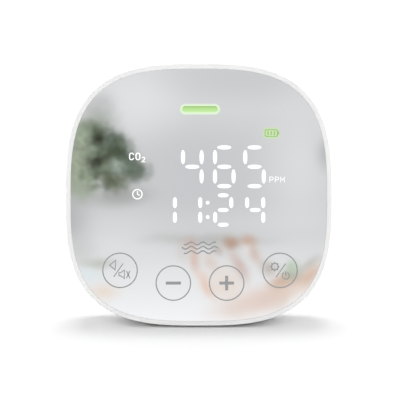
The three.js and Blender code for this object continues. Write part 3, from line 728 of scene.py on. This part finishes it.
# A row of digits: their centres, the height of the row, the steps from a digit's middle to its segments,
# the size of a segment, and how blunt its upright and flat segments are.
READING = {
    "centres": [-2.9, 9.15, 20.55],
    "up": 11.4,
    "steps": (3.5, 3.65),
    "segment": (1.57, 5.3),
    "bluntness": (2.7, 2.4),
}
CLOCK = {
    "centres": [-12.5, -2.95, 8.75, 20.8],
    "up": -4.9,
    "steps": (3.04, 2.77),
    "segment": (1.5, 4.05),
    "bluntness": (3.4, 3.0),
}
COLON = {"across": 2.9, "ups": (-2.15, -7.55), "width": 1.35, "bluntness": 2.4}
SEGMENTS = {"a": (0, 2), "b": (1, 1), "c": (1, -1), "d": (0, -2), "e": (-1, -1), "f": (-1, 1), "g": (0, 0)}
DIGITS = {"1": "bc", "2": "abged", "4": "fgbc", "5": "afgcd", "6": "afgecd"}


def digit(marks, character, centre, row):
    """A seven-segment digit of blunt-ended bars."""
    width, length = row["segment"]
    upright, flat = row["bluntness"]
    for name in DIGITS[character]:
        column, level = SEGMENTS[name]
        at = (centre + column * row["steps"][0], row["up"] + level * row["steps"][1])
        if column:
            marks.polygon(superellipse(at, width, length, 2, upright))
        else:
            marks.polygon(superellipse(at, length, width, flat, 2))


def digits():
    reading, clock = Marks(), Marks()
    for marks, characters, row in ((reading, "465", READING), (clock, "1124", CLOCK)):
        for character, centre in zip(characters, row["centres"]):
            digit(marks, character, centre, row)
    for up in COLON["ups"]:
        width, bluntness = COLON["width"], COLON["bluntness"]
        clock.polygon(superellipse((COLON["across"], up), width, width, bluntness, bluntness, 32))
    on_glass("gas_reading", reading)
    on_glass("clock_digits", clock)


def gas_label():
    """The gas formula: an open and a closed round letter, and a small digit."""
    stroke, small_stroke = 0.44, 0.34
    low, high = 13.85, 16.75
    radius = 0.95
    marks = Marks()
    for left, gap in ((-26.75, 15), (-24.35, 0)):
        centre = left + radius
        top = arc((centre, high - radius), radius - stroke / 2, gap, 180, 16)
        bottom = arc((centre, low + radius), radius - stroke / 2, 180, 360 - gap, 16)
        marks.line(top + bottom, stroke, closed=gap == 0)
    marks.line(arc((-21.35, 14.5), 0.5, 150, -40, 12) + [(-21.95, 13.25), (-20.75, 13.25)], small_stroke)
    on_glass("gas_label", marks)


def unit_label():
    """The unit: two letters with a stem and a bowl, and one with a notch."""
    stroke = 0.25
    low, high = 5.6, 7.55
    bowl, reach = 0.55, 0.75
    marks = Marks()
    for left in (26.3, 28.35):
        marks.line([(left, low), (left, high)], stroke)
        near = left + 0.07
        curve = arc((left + reach, high - bowl), bowl, 90, -90, 12)
        marks.line([(near, high), *curve, (near, high - 2 * bowl)], stroke)
    left, middle, right = 30.4, 31.12, 31.84
    marks.line([(left, low), (left, high), (middle, low + 0.7), (right, high), (right, low)], stroke)
    on_glass("unit_label", marks)


def clock_sign():
    """A dial with two hands."""
    x, z = -23.6, 1.06
    sign = Marks()
    sign.circle_line((x, z), 1.96, 0.4)
    sign.line([(x, z + 1.05), (x, z), (x + 0.75, z - 0.4)], 0.36)
    on_glass("clock_sign", sign)


def battery_sign():
    """A battery with three charge bars and a faint glow round it."""
    left, right, low, high = 24.35, 29.35, 22.65, 25.55
    x, z = (left + right) / 2, (low + high) / 2
    width, height, line = right - left, high - low, 0.35
    halo = superellipse((x, z), width + 2.6, height + 2.4, 5, 5, 64)
    glowing = glow("battery_glow", (x + PRINT_SHIFT, z), 1.6, 0.6, 0.8, 2.0, srgb(204, 230, 180))
    on_glass("battery_glow", Marks().polygon(halo), glowing, "green_light", GLOW_LIFT)
    sign = Marks()
    sizes = ((width, height), (width - 2 * line, height - 2 * line))
    sign.band(*[superellipse((x, z), *size, 7, 6, 64) for size in sizes])
    sign.polygon(rectangle((right + 0.2, z), 0.5, 1.2))
    for across in (-1.2, 0.0, 1.2):
        sign.polygon(superellipse((x + across, z), 0.48, 1.5, 4, 4, 24))
    on_glass("battery_sign", sign, GREEN_LINE, "green_light")


def status_bar():
    """The green bar, and the glow round it."""
    x, z = 0, 33.1
    width, height, reach = 13.5, 2.4, 1.15
    edge = height / 2
    halo = Marks().polygon(stadium((x, z), width + 2 * reach, height + 2 * reach, 24))
    centre, half_length = (x + PRINT_SHIFT, z), (width - height) / 2
    glowing = glow("status_glow", centre, half_length, 0, edge + 0.3, edge + reach, srgb(230, 250, 218))
    on_glass("status_glow", halo, glowing, "green_light", GLOW_LIFT)
    bar = Marks().polygon(stadium((x, z), width, height, 24))
    on_glass("status_bar", bar, status_light(z, height), "green_light")


KEY_RADIUS = 6.72
KEY_LINE = 0.46
SIGN_LINE = 0.4
THIN_LINE = 0.38
KEYS = {
    "alarm": (-30.15, -27.65),
    "minus": (-10.05, -32.45),
    "plus": (10.05, -32.45),
    "settings": (30.15, -27.65),
}


def printed(name, marks):
    on_glass(name, marks, INK, "half_mirror")


def key_ring(key):
    marks = Marks()
    marks.circle_line(KEYS[key], KEY_RADIUS, KEY_LINE)
    return marks


def from_key(key, *offsets):
    x, z = KEYS[key]
    return [(x + dx, z + dz) for dx, dz in offsets]


def alarm_key():
    """A speaker, a slash and a struck-out speaker."""
    marks = key_ring("alarm")
    marks.line(from_key("alarm", (-3.95, 1.9), (-1.65, 3.8), (-1.85, 0.15)), SIGN_LINE, closed=True)
    marks.line(from_key("alarm", (1.1, 2.5), (-2.3, -2.35)), SIGN_LINE)
    speaker = [(-0.4, -0.9), (0.25, -0.9), (1.65, 0.15), (1.65, -3.1), (0.25, -2.05), (-0.4, -2.05)]
    marks.line(from_key("alarm", *speaker), THIN_LINE, closed=True)
    for start, end in (((2.5, -0.35), (3.65, -2.85)), ((3.65, -0.35), (2.5, -2.85))):
        marks.line(from_key("alarm", start, end), SIGN_LINE)
    printed("alarm_key_print", marks)


def step_keys():
    """The minus and plus keys."""
    bar = 1.15
    minus = key_ring("minus")
    minus.polygon(rectangle(KEYS["minus"], 5.7, bar))
    printed("minus_key_print", minus)
    plus = key_ring("plus")
    long, short = 5.5 / 2, bar / 2
    corners = []
    for quarter in range(4):
        turn = Matrix.Rotation(math.pi / 2 * quarter, 2)
        corners += [turn @ Vector(p) for p in ((short, short), (short, long), (-short, long))]
    plus.polygon([Vector(KEYS["plus"]) + corner for corner in corners])
    printed("plus_key_print", plus)


def settings_key():
    """A gear, a slash and a power sign."""
    marks = key_ring("settings")
    gear = Vector(from_key("settings", (-1.95, 1.4))[0])
    marks.circle_line(gear, 1.4, 0.36, steps=48)
    teeth = 8
    for i in range(teeth):
        turn = Matrix.Rotation(2 * math.pi * i / teeth, 2)
        marks.polygon([gear + turn @ Vector(p) for p in ((-0.42, 1.25), (0.42, 1.25), (0, 1.92))])
    marks.line(from_key("settings", (2.05, 2.45), (-1.45, -2.5)), SIGN_LINE)
    x, z = from_key("settings", (2.2, -2.0))[0]
    marks.line(arc((x, z), 1.3, 55, -235, 40), THIN_LINE)
    marks.line([(x, z + 1.5), (x, z + 0.1)], THIN_LINE)
    printed("settings_key_print", marks)


def air_sign():
    """Three wavy lines for moving air."""
    marks = Marks()
    up, wave, rise, gap, stroke = -19.15, 4.4, 0.5, 1.65, 0.52
    steps = 48
    for row, reach in ((-1, 5.9), (0, 6.7), (1, 5.9)):
        points = []
        for i in range(steps + 1):
            x = -reach + 2 * reach * i / steps
            points.append((x, up + row * gap + rise * math.sin(2 * math.pi * x / wave)))
        marks.line(points, stroke)
    printed("air_sign", marks)


digits()
gas_label()
unit_label()
clock_sign()
battery_sign()
status_bar()
alarm_key()
step_keys()
settings_key()
air_sign()

# ------------ rear cover

VENT = {"count": 11, "pitch": 5, "width": 2.2, "half_height": 9.5, "up": 20, "reach": 30}
INTAKE = {"count": 4, "first": 13, "pitch": 4.6, "width": 2.2, "height": 8, "up": -22}
SOUND_HOLE = {"at": (-31, 3), "ring": 2.4, "radius": 0.75, "count": 6}
FILTER = {"width": 57, "height": 22, "back": 28.35, "ledge": 2}
USB_PORT = {"up": -34, "width": 8.94, "height": 3.26, "length": 7.35, "mouth": 32, "room": 0.4}
TONGUE = {"outer": WALL + 0.4, "inner": WALL + 1.7, "front": SEAM_DEPTH - 1.6}
TOWER = {"radius": 4.1, "start": 12, "behind_seat": 1.2, "hole": 1.75, "counterbore": 3.1}
FEET = ["foot_front_left", "foot_front_right", "foot_rear_left", "foot_rear_right"]


def dome_turns():
    """Turns from just behind the seam to just before the dome's pole."""
    first = 0.12
    return [first + (math.pi / 2 - first) * (i / DOME_STEPS) ** 0.92 for i in range(DOME_STEPS)]


def cover_shell():
    """The cover's wall and the tongue that goes inside the bezel, as one closed skin."""
    seam = SEAM_DEPTH + SEAM_GAP
    inner_rise = FOOT_RISE + WALL
    tongue_rise, hollow_rise = inner_rise - 0.6, inner_rise + 0.4
    tongue_out, tongue_in, tongue_front = TONGUE["outer"], TONGUE["inner"], TONGUE["front"]
    chamfer = 0.25
    turns = dome_turns()
    outer = [dome_ring(turn, 0, FOOT_RISE) for turn in reversed(turns)]
    inner = [dome_ring(turn, WALL, inner_rise) for turn in turns]
    rings = [
        *outer,
        outline_ring(0, seam + 0.3, FOOT_RISE),
        outline_ring(0.09, seam + 0.09, FOOT_RISE),
        outline_ring(0.3, seam, FOOT_RISE),
        outline_ring(tongue_out, seam, tongue_rise),
        outline_ring(tongue_out, tongue_front + chamfer, tongue_rise),
        outline_ring(tongue_out + chamfer, tongue_front, tongue_rise),
        outline_ring(tongue_in, tongue_front, hollow_rise),
        outline_ring(tongue_in, seam + 1.2, hollow_rise),
        *inner,
    ]
    return solid(rings)


def slot_cutters():
    """What the vents, the intakes, the sound holes and the port opening take out of the cover."""
    outlines = []
    for i in range(VENT["count"]):
        x = (i - (VENT["count"] - 1) / 2) * VENT["pitch"]
        height = 2 * VENT["half_height"] * (1 - abs(x / VENT["reach"]) ** SQUIRCLE) ** (1 / SQUIRCLE)
        outlines.append(stadium((x, VENT["up"]), VENT["width"], height))
    for i in range(INTAKE["count"]):
        for side in (-1, 1):
            x = side * (INTAKE["first"] + i * INTAKE["pitch"])
            outlines.append(stadium((x, INTAKE["up"]), INTAKE["width"], INTAKE["height"]))
    middle, count = SOUND_HOLE["at"], SOUND_HOLE["count"]
    holes = [middle, *arc(middle, SOUND_HOLE["ring"], 0, 360 - 360 / count, count - 1)]
    outlines += [arc(at, SOUND_HOLE["radius"], 0, 345, 23) for at in holes]
    room = 2 * USB_PORT["room"]
    outlines.append(stadium((0, USB_PORT["up"]), USB_PORT["width"] + room, USB_PORT["height"] + room, 20))
    behind_tongue = SEAM_DEPTH + 6
    return [extruded(outline, behind_tongue, FAR) for outline in outlines]


def screw_bores():
    cutters = []
    narrow, wide = TOWER["hole"], TOWER["counterbore"]
    for side, level, _ in CORNERS:
        seat = COVER_SCREW_SEAT[level]
        bore = turned([(narrow, SEAM_DEPTH), (narrow, seat), (wide, seat), (wide, FAR)])
        cutters.append(at_corner(bore, side, level, COVER_SCREW))
    return cutters


def screw_towers():
    towers = []
    for side, level, _ in CORNERS:
        end = COVER_SCREW_SEAT[level] + TOWER["behind_seat"]
        tower = turned([(TOWER["radius"], TOWER["start"]), (TOWER["radius"], end)])
        towers.append(at_corner(tower, side, level, COVER_SCREW))
    return towers


def filter_frame():
    """The raised frame inside the cover that the dust filter is stuck to."""
    at = (0, VENT["up"])
    width, height, ledge = FILTER["width"], FILTER["height"], FILTER["ledge"]
    outer, inner = (rectangle(at, width + grow, height + grow) for grow in (ledge, -ledge))
    middle_of_wall = solid([dome_ring(turn, WALL / 2, FOOT_RISE) for turn in dome_turns()])
    return combined(framed(outer, inner, FILTER["back"] + 0.1, BODY_DEPTH), middle_of_wall, "INTERSECT")


def upright_at(name):
    """Where a foot's middle stands on the table, as a matrix for solids turned about the depth axis."""
    middle = (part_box(name)[0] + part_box(name)[1]) / 2
    return Matrix.Translation((middle.x, middle.y, 0)) @ Matrix.Rotation(math.pi / 2, 4, "X")


def foot_size(name):
    """A foot's radius and height."""
    lowest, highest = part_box(name)
    return (highest.x - lowest.x) / 2 / MM, highest.z / MM


def foot_recesses():
    """Round recesses for the feet, taken from the model's frame into the panel's."""
    cutters = []
    room, below, above = 0.2, 1.4, 0.1
    for name in FEET:
        radius, height = foot_size(name)
        bm = turned([(radius + room, -below), (radius + room, height + above)])
        bm.transform(PANEL.inverted() @ upright_at(name))
        cutters.append(bm)
    return cutters


def rear_cover():
    shell = combined(cover_shell(), merged(*screw_towers(), filter_frame()), "UNION")
    shell = combined(shell, merged(*slot_cutters(), *screw_bores(), *foot_recesses()), "DIFFERENCE")
    piece("rear_shell", shell, "white_shell", "rear_cover")


rear_cover()


def cross_recess(head, top):
    """What a cross-point driver's tip takes out of a screw's head."""
    arms = []
    for across, up in ((1.2, 0.24), (0.24, 1.2)):
        wide = rectangle((0, 0), head * across, head * up)
        narrow = rectangle((0, 0), head * across * 0.6, head * up * 0.8)
        arms.append(solid(at_depths((narrow, top - 1.2), (wide, top + 0.1))))
    return combined(*arms, "UNION")


def cover_screws():
    """Pan heads with a cross recess, one for each tower."""
    head, height, radius = (COVER_SCREW[key] for key in ("head", "height", "radius"))
    rounding, tip, taper = 0.9, 6.2, 1.2
    for side, level, name in CORNERS:
        seat = COVER_SCREW_SEAT[level] + 0.1
        top = seat + height
        profile = [
            (radius * 0.6, tip),
            (radius, tip + taper),
            (radius, seat),
            (head, seat),
            (head, seat + height * 0.4),
            *arc((head - rounding, top - rounding), rounding, 20, 90, 6)[:-1],
            (head * 0.45, top),
        ]
        bm = combined(turned(profile), cross_recess(head, top), "DIFFERENCE")
        bm = at_corner(bm, side, level, COVER_SCREW)
        piece(f"screw_{name}", bm, "black_steel", f"cover_screw_{name}")


cover_screws()


def feet():
    """Rubber discs with a rounded rim and a shallow dish."""
    for name in FEET:
        radius, height = foot_size(name)
        rim, dish = 0.35, 0.18
        profile = [
            (0.3, dish),
            (radius - 1.1, dish),
            (radius - 0.95, 0.02),
            (radius - rim, 0),
            *arc((radius - rim, rim), rim, -70, 0, 6),
            (radius, height - 0.05),
            (radius - 0.05, height),
        ]
        piece(f"{name}_pad", turned(profile), "foot_rubber", name, matrix=upright_at(name))


feet()

# ------------ charging socket


def usb_socket():
    """The metal shell, the tongue inside it and the contacts on both sides of the tongue."""
    up, width, height = USB_PORT["up"], USB_PORT["width"], USB_PORT["height"]
    mouth, start = USB_PORT["mouth"], USB_PORT["mouth"] - USB_PORT["length"]
    wall, lip = 0.32, 0.12
    steps = [
        (0, start),
        (0, mouth - lip),
        (0.04, mouth - 0.03),
        (lip, mouth),
        (wall - 0.08, mouth),
        (wall, mouth - lip),
        (wall, start + 0.8),
    ]
    rings = [(stadium((0, up), width - 2 * s, height - 2 * s, 16), depth) for s, depth in steps]
    piece("usb_shell", solid(at_depths(*rings)), "bright_steel", "usb_socket_shell")

    thick, broad, root = 0.7, 6.69, start + 0.9
    tip = root + 5.4
    steps = [(0, root), (0, tip - 0.15), (0.1, tip)]
    rings = [(superellipse((0, up), broad - 2 * s, thick - 2 * s, 24, 6), depth) for s, depth in steps]
    piece("usb_tongue", solid(at_depths(*rings)), "black_plastic", "usb_socket_tongue")

    count, pitch, strip = 12, 0.5, (0.26, 0.05)
    contacts = []
    for i in range(count):
        for side in (-1, 1):
            at = ((i - (count - 1) / 2) * pitch, up + side * (thick / 2 + 0.01))
            contacts.append(extruded(rectangle(at, *strip), root + 1.5, tip - 0.5))
    piece("usb_contacts", merged(*contacts), "gold_plate")


usb_socket()

# ------------ inner parts

for part in frame["record"]["subparts"]:
    obj = bpy.data.objects[part["node"]]
    obj.data.materials.clear()
    obj.data.materials.append(MATERIALS[part["material_slot"]])

# ------------ camera

CAMERA_DISTANCE = 1.4
SENSOR_WIDTH = 36
FRAME_WIDTH = 150.8  # how much of the face's plane the picture takes in
AIM = (0.45, MIRROR_FRONT, -1.13)


def add_camera():
    data = bpy.data.cameras.new("camera")
    data.sensor_width = SENSOR_WIDTH
    data.lens = SENSOR_WIDTH * CAMERA_DISTANCE / (FRAME_WIDTH * MM)
    data.clip_end = 100
    camera = bpy.data.objects.new("camera", data)
    bpy.context.scene.collection.objects.link(camera)
    aim = PANEL @ (Vector(AIM) * MM)
    outward = PANEL.to_3x3() @ Vector((0, -1, 0))
    camera.location = aim + outward * CAMERA_DISTANCE
    camera.rotation_euler = (-outward).to_track_quat("-Z", "Y").to_euler()
    bpy.context.scene.camera = camera


add_camera()

# ------------ the room around it

FLOOR_SIZE = 40
ROOM_RADIUS = 2.2
ROOM_LIGHT = 1.254
CEILING = 0.3


def floor():
    """A plain pale floor, large enough to fill every view."""
    shader = Shader("floor", roughness=1.0, specular_ior_level=0.0)
    pale, paler = (0.935, 0.935, 0.935, 1), (0.945, 0.945, 0.945, 1)
    material = shader.set(base_color=shader.ramp(shader.noise(2, 2), (0.3, pale), (0.7, paler)))
    bm = bmesh.new()
    bmesh.ops.create_grid(bm, x_segments=1, y_segments=1, size=FLOOR_SIZE / 2)
    obj = object_from("floor", bm)
    obj.data.materials.append(material)


# What the mirror shows, out of focus: soft ellipses, painted one over the other. Each has its
# place and half sizes in millimetres on the face, its turn in degrees, its colour, how strongly it
# covers and, if it isn't soft all through, how soft its edge is.
WALL_TONES = [
    # daylight and shade on the wall
    (-24, 38, 28, 24, 0, (225, 226, 228), 0.95),
    (16, 46, 44, 14, 0, (202, 203, 205), 0.9),
    (0, 8, 34, 30, 0, (199, 200, 203), 0.85),
    (38, 12, 22, 42, 0, (220, 221, 223), 0.9),
    (49, 17, 7, 10, 0, (174, 175, 178), 0.9),
    # the wall behind the plant, and painted shade on it under the plant
    (-51, -7, 15, 22, 0, (178, 179, 180), 0.9),
    (-31, -19, 22, 14, 0, (223, 224, 226), 0.8),
    (-30, 0.8, 18, 6, 5, (162, 163, 161), 0.85),
    (-37, 37, 9, 6, 0, (198, 200, 200), 0.75),
    (-45, -19, 10, 9, 0, (203, 204, 203), 0.7),
]
CHAIR = [
    # the far edge of a table
    (3, -15.3, 36, 3.6, 0, (182, 183, 180), 0.85),
    # the chair's back and its left leg
    (-4, -16.8, 5, 3.6, 0, (206, 172, 158), 0.8),
    (10, -32, 11, 10, 0, (231, 217, 208), 0.9),
    (-2.2, -22.5, 9, 3, -76, (214, 182, 166), 0.9),
    (2.6, -32.5, 9.5, 3.4, -63, (230, 198, 180), 0.95),
    # its right leg
    (15.2, -25.4, 11, 3.6, -64, (204, 182, 174), 0.95),
    (21, -20.4, 8.5, 3, -70, (206, 182, 168), 0.85),
    (17.8, -18.6, 5, 2.2, -66, (232, 226, 224), 0.8),
    # where the legs meet the back
    (11.8, -16.4, 4.8, 4, 0, (184, 154, 136), 1.0, 0.9),
    (18.6, -15.3, 5.8, 3.2, 0, (200, 168, 150), 0.95),
    # its seat, and a patch of painted shade
    (20, -39.5, 25, 7.5, 14, (227, 208, 199), 0.9, 0.9),
    (30, -35, 17, 7.5, 20, (224, 203, 191), 0.9, 0.9),
    (26.4, -26.2, 5.5, 4.5, 0, (186, 176, 166), 0.85, 0.9),
    (38, -34, 8, 4, 20, (234, 218, 208), 0.7),
    # between the legs
    (7, -19.6, 4.6, 3, -35, (186, 174, 168), 0.85),
    (4, -24, 6.5, 3.6, -62, (218, 198, 186), 0.7),
    (-6.8, -20, 3.6, 6, 0, (208, 205, 202), 0.7),
    # a cushion beside it, with a band of painted shade above it
    (41.5, -24.6, 9, 2.8, 25, (182, 181, 172), 0.75),
    (41.5, -28.8, 9.5, 4.6, 25, (216, 184, 162), 0.95),
    (31.5, -31.2, 8, 3.6, 12, (210, 182, 163), 1.0, 0.9),
    (35, -28.2, 5.5, 4, 10, (176, 174, 156), 0.9),
    (34.8, -25.6, 4.6, 4.2, 0, (184, 201, 180), 0.9),
    # a painted highlight beside the seat
    (38, -38.5, 9, 5, 32, (243, 241, 239), 0.85),
    # things on the left of the table
    (-38, -24.4, 11, 3.3, 0, (188, 192, 182), 0.85),
    (-42, -28.6, 8, 3.6, 0, (222, 232, 235), 0.85),
    (-36.6, -35, 9, 5, 0, (234, 217, 202), 0.85),
]
PLANT = [
    # its soft surround
    (-38, 31, 12, 9, -25, (168, 172, 166), 0.8),
    (-46.5, 15, 12, 17, 0, (160, 168, 150), 1.0, 0.5),
    (-44.5, 4, 9, 8, 0, (158, 168, 150), 0.8, 0.9),
    # its mass of leaves
    (-40, 25.5, 9, 6, -10, (128, 139, 120), 1.0, 0.6),
    (-34.5, 16.5, 12, 12.5, 0, (104, 114, 100), 1.0, 0.45),
    (-25.5, 11.2, 9.5, 6.4, -10, (104, 115, 103), 1.0, 0.6),
    (-32, 6, 7, 5.5, 0, (110, 118, 100), 1.0, 0.7),
    # leaves in shade, leaves in light and gaps
    (-33, 22.4, 5, 4, 0, (98, 107, 98), 0.75, 0.9),
    (-38.8, 23.2, 3.2, 5, 0, (40, 38, 26), 1.0, 0.9),
    (-44, 24, 3.8, 4.6, 0, (166, 180, 158), 0.9, 0.9),
    (-30.4, 18.4, 3.6, 6.4, 30, (72, 82, 66), 0.85, 0.9),
    (-34, 16.8, 5.4, 2.4, 20, (72, 79, 62), 0.9, 0.9),
    (-31.4, 11.8, 5.2, 4, 0, (158, 168, 160), 0.95, 0.8),
    (-38.6, 14, 4.6, 2.8, 0, (44, 40, 30), 1.0, 0.9),
    (-41.6, 18.2, 4.6, 3.6, 0, (152, 164, 145), 0.95, 0.9),
    (-35.4, 12, 3.2, 2.4, 20, (140, 150, 132), 0.8, 0.9),
    (-38, 9.4, 3.4, 2.8, 0, (92, 100, 82), 0.85, 0.9),
    (-34, 7, 3.2, 4.6, 15, (90, 98, 78), 0.9, 0.9),
    (-27.2, 15.4, 3.6, 4, 20, (98, 110, 98), 0.9, 0.9),
    (-43, 8.6, 4.4, 3.4, 0, (136, 146, 126), 0.8, 0.9),
    (-39.6, 4.4, 4, 2.4, 10, (116, 126, 106), 0.85, 0.9),
]
# The wall's grey at heights on the face, from the pale table top up.
WALL_HEIGHTS = (-50, -41, -34, -28, -23, -13, -9, 0, 20, 34, 50)
WALL_GREYS = (248, 240, 233, 229, 223, 210, 212, 203, 205, 213, 209)


def on_face(shader):
    """Where the camera sees a point of the room in the face, as (x, z) in millimetres."""
    place = shader.axes(shader.place())
    ahead = shader.math("MAXIMUM", shader.math("MULTIPLY", place["Y"], -1.0), 0.05)
    scale = ROOM_RADIUS / (1 + ROOM_RADIUS / CAMERA_DISTANCE) / MM
    x, z = (shader.math("MULTIPLY", shader.math("DIVIDE", place[axis], ahead), scale) for axis in ("X", "Z"))
    return shader.node("ShaderNodeCombineXYZ", {"X": x, "Y": z}).outputs["Vector"]


def shaken(shader, place, scale, reach):
    """A place, pushed about by noise by up to reach."""
    push = shader.noise(scale, 2, 0.5, place, "Color")
    centred = shader.vector_math("SUBTRACT", place, (reach, reach, 0))
    return shader.vector_math("MULTIPLY_ADD", push, (2 * reach, 2 * reach, 0), centred)


def ellipse(shader, place, x, z, across, up, turn=0, strength=1.0, softness=0.5):
    """strength inside a soft ellipse, and 0 outside it."""
    inputs = {
        "Vector": place,
        "Location": (x, z, 0),
        "Rotation": (0, 0, math.radians(turn)),
        "Scale": (across, up, 1),
    }
    within = shader.node("ShaderNodeMapping", inputs, vector_type="TEXTURE").outputs["Vector"]
    ball = shader.node("ShaderNodeTexGradient", {"Vector": within}, gradient_type="SPHERICAL")
    return shader.between(ball.outputs["Fac"], 0.0, strength, 0.0, softness, smooth=True)


def room_material():
    """What shiny surfaces see around them: a grey room, with a plant and a chair out of focus in front of the
    face. Its ceiling is dimmer."""
    shader = Shader("room")
    shader.tree.nodes.remove(shader.surface)
    face = on_face(shader)
    lowest, highest = WALL_HEIGHTS[0], WALL_HEIGHTS[-1]
    up = shader.between(shader.axes(face)["Y"], 0, 1, lowest, highest)
    greys = [srgb(grey, grey + 1, grey + 2) for grey in WALL_GREYS]
    colour = shader.ramp(up, *zip([(h - lowest) / (highest - lowest) for h in WALL_HEIGHTS], greys))
    loose, leafy = shaken(shader, face, 0.12, 2.0), shaken(shader, face, 0.42, 2.6)
    for place, rows in ((face, WALL_TONES), (loose, CHAIR), (leafy, PLANT)):
        for x, z, across, high, turn, tint, strength, *softness in rows:
            cover = ellipse(shader, place, x, z, across, high, turn, strength, *(softness or [1.0]))
            colour = shader.mix(cover, colour, srgb(*tint))

    dark, light = (0.62, 0.63, 0.6, 1), (1.26, 1.28, 1.26, 1)
    speckled = shader.ramp(shader.noise(0.55, 3, 0.6, face), (0.36, dark), (0.64, light))
    colour = shader.mix(ellipse(shader, face, -37, 15, 17, 17), colour, speckled, "MULTIPLY")

    high = shader.math("DIVIDE", shader.axes(shader.place())["Z"], ROOM_RADIUS)
    dim = shader.between(high, 1.0, CEILING, 0.3, 0.6, smooth=True)
    light = {"Color": colour, "Strength": shader.math("MULTIPLY", dim, ROOM_LIGHT)}
    emission = shader.node("ShaderNodeEmission", light).outputs["Emission"]
    shader.feed(shader.tree.nodes["Material Output"].inputs["Surface"], emission)
    return shader.material


def room():
    """A sphere round the monitor that only reflections see."""
    bm = bmesh.new()
    bmesh.ops.create_uvsphere(bm, u_segments=64, v_segments=32, radius=ROOM_RADIUS)
    obj = object_from("room", bm)
    obj.data.materials.append(room_material())
    obj.matrix_world = PANEL
    for ray in ("camera", "diffuse", "transmission", "volume_scatter", "shadow"):
        setattr(obj, f"visible_{ray}", False)


def world(horizon, zenith, behind):
    """Soft light from all round, strongest at the horizon in front. behind is what is left of it straight
    behind the monitor."""
    made = bpy.data.worlds.new("studio")
    made.use_nodes = True
    nodes = Nodes(made.node_tree)
    way = nodes.axes(nodes.node("ShaderNodeTexCoord").outputs["Generated"])
    by_height = nodes.between(way["Z"], horizon, zenith)
    by_side = nodes.between(way["Y"], 1.0, behind, -1.0, 1.0)
    background = nodes.tree.nodes["Background"].inputs
    nodes.feed(background["Color"], (1, 1, 1, 1))
    nodes.feed(background["Strength"], nodes.math("MULTIPLY", by_height, by_side))
    bpy.context.scene.world = made


def lamp_from(name, azimuth, elevation, spread, strength):
    """A soft far light. Azimuth 0 is in front of the face and 90 on its right side, in degrees."""
    data = bpy.data.lights.new(name, "SUN")
    data.angle = math.radians(spread)
    data.energy = strength
    obj = bpy.data.objects.new(name, data)
    a, e = math.radians(azimuth), math.radians(elevation)
    towards = Vector((math.sin(a) * math.cos(e), -math.cos(a) * math.cos(e), math.sin(e)))
    obj.rotation_euler = towards.to_track_quat("Z", "Y").to_euler()
    obj.visible_glossy = False
    bpy.context.scene.collection.objects.link(obj)


floor()
room()
world(2.62, 0.1, 0.6)
lamp_from("overhead", 180, 75, 23, 1.2)
bpy.context.scene.view_settings.view_transform = "Standard"
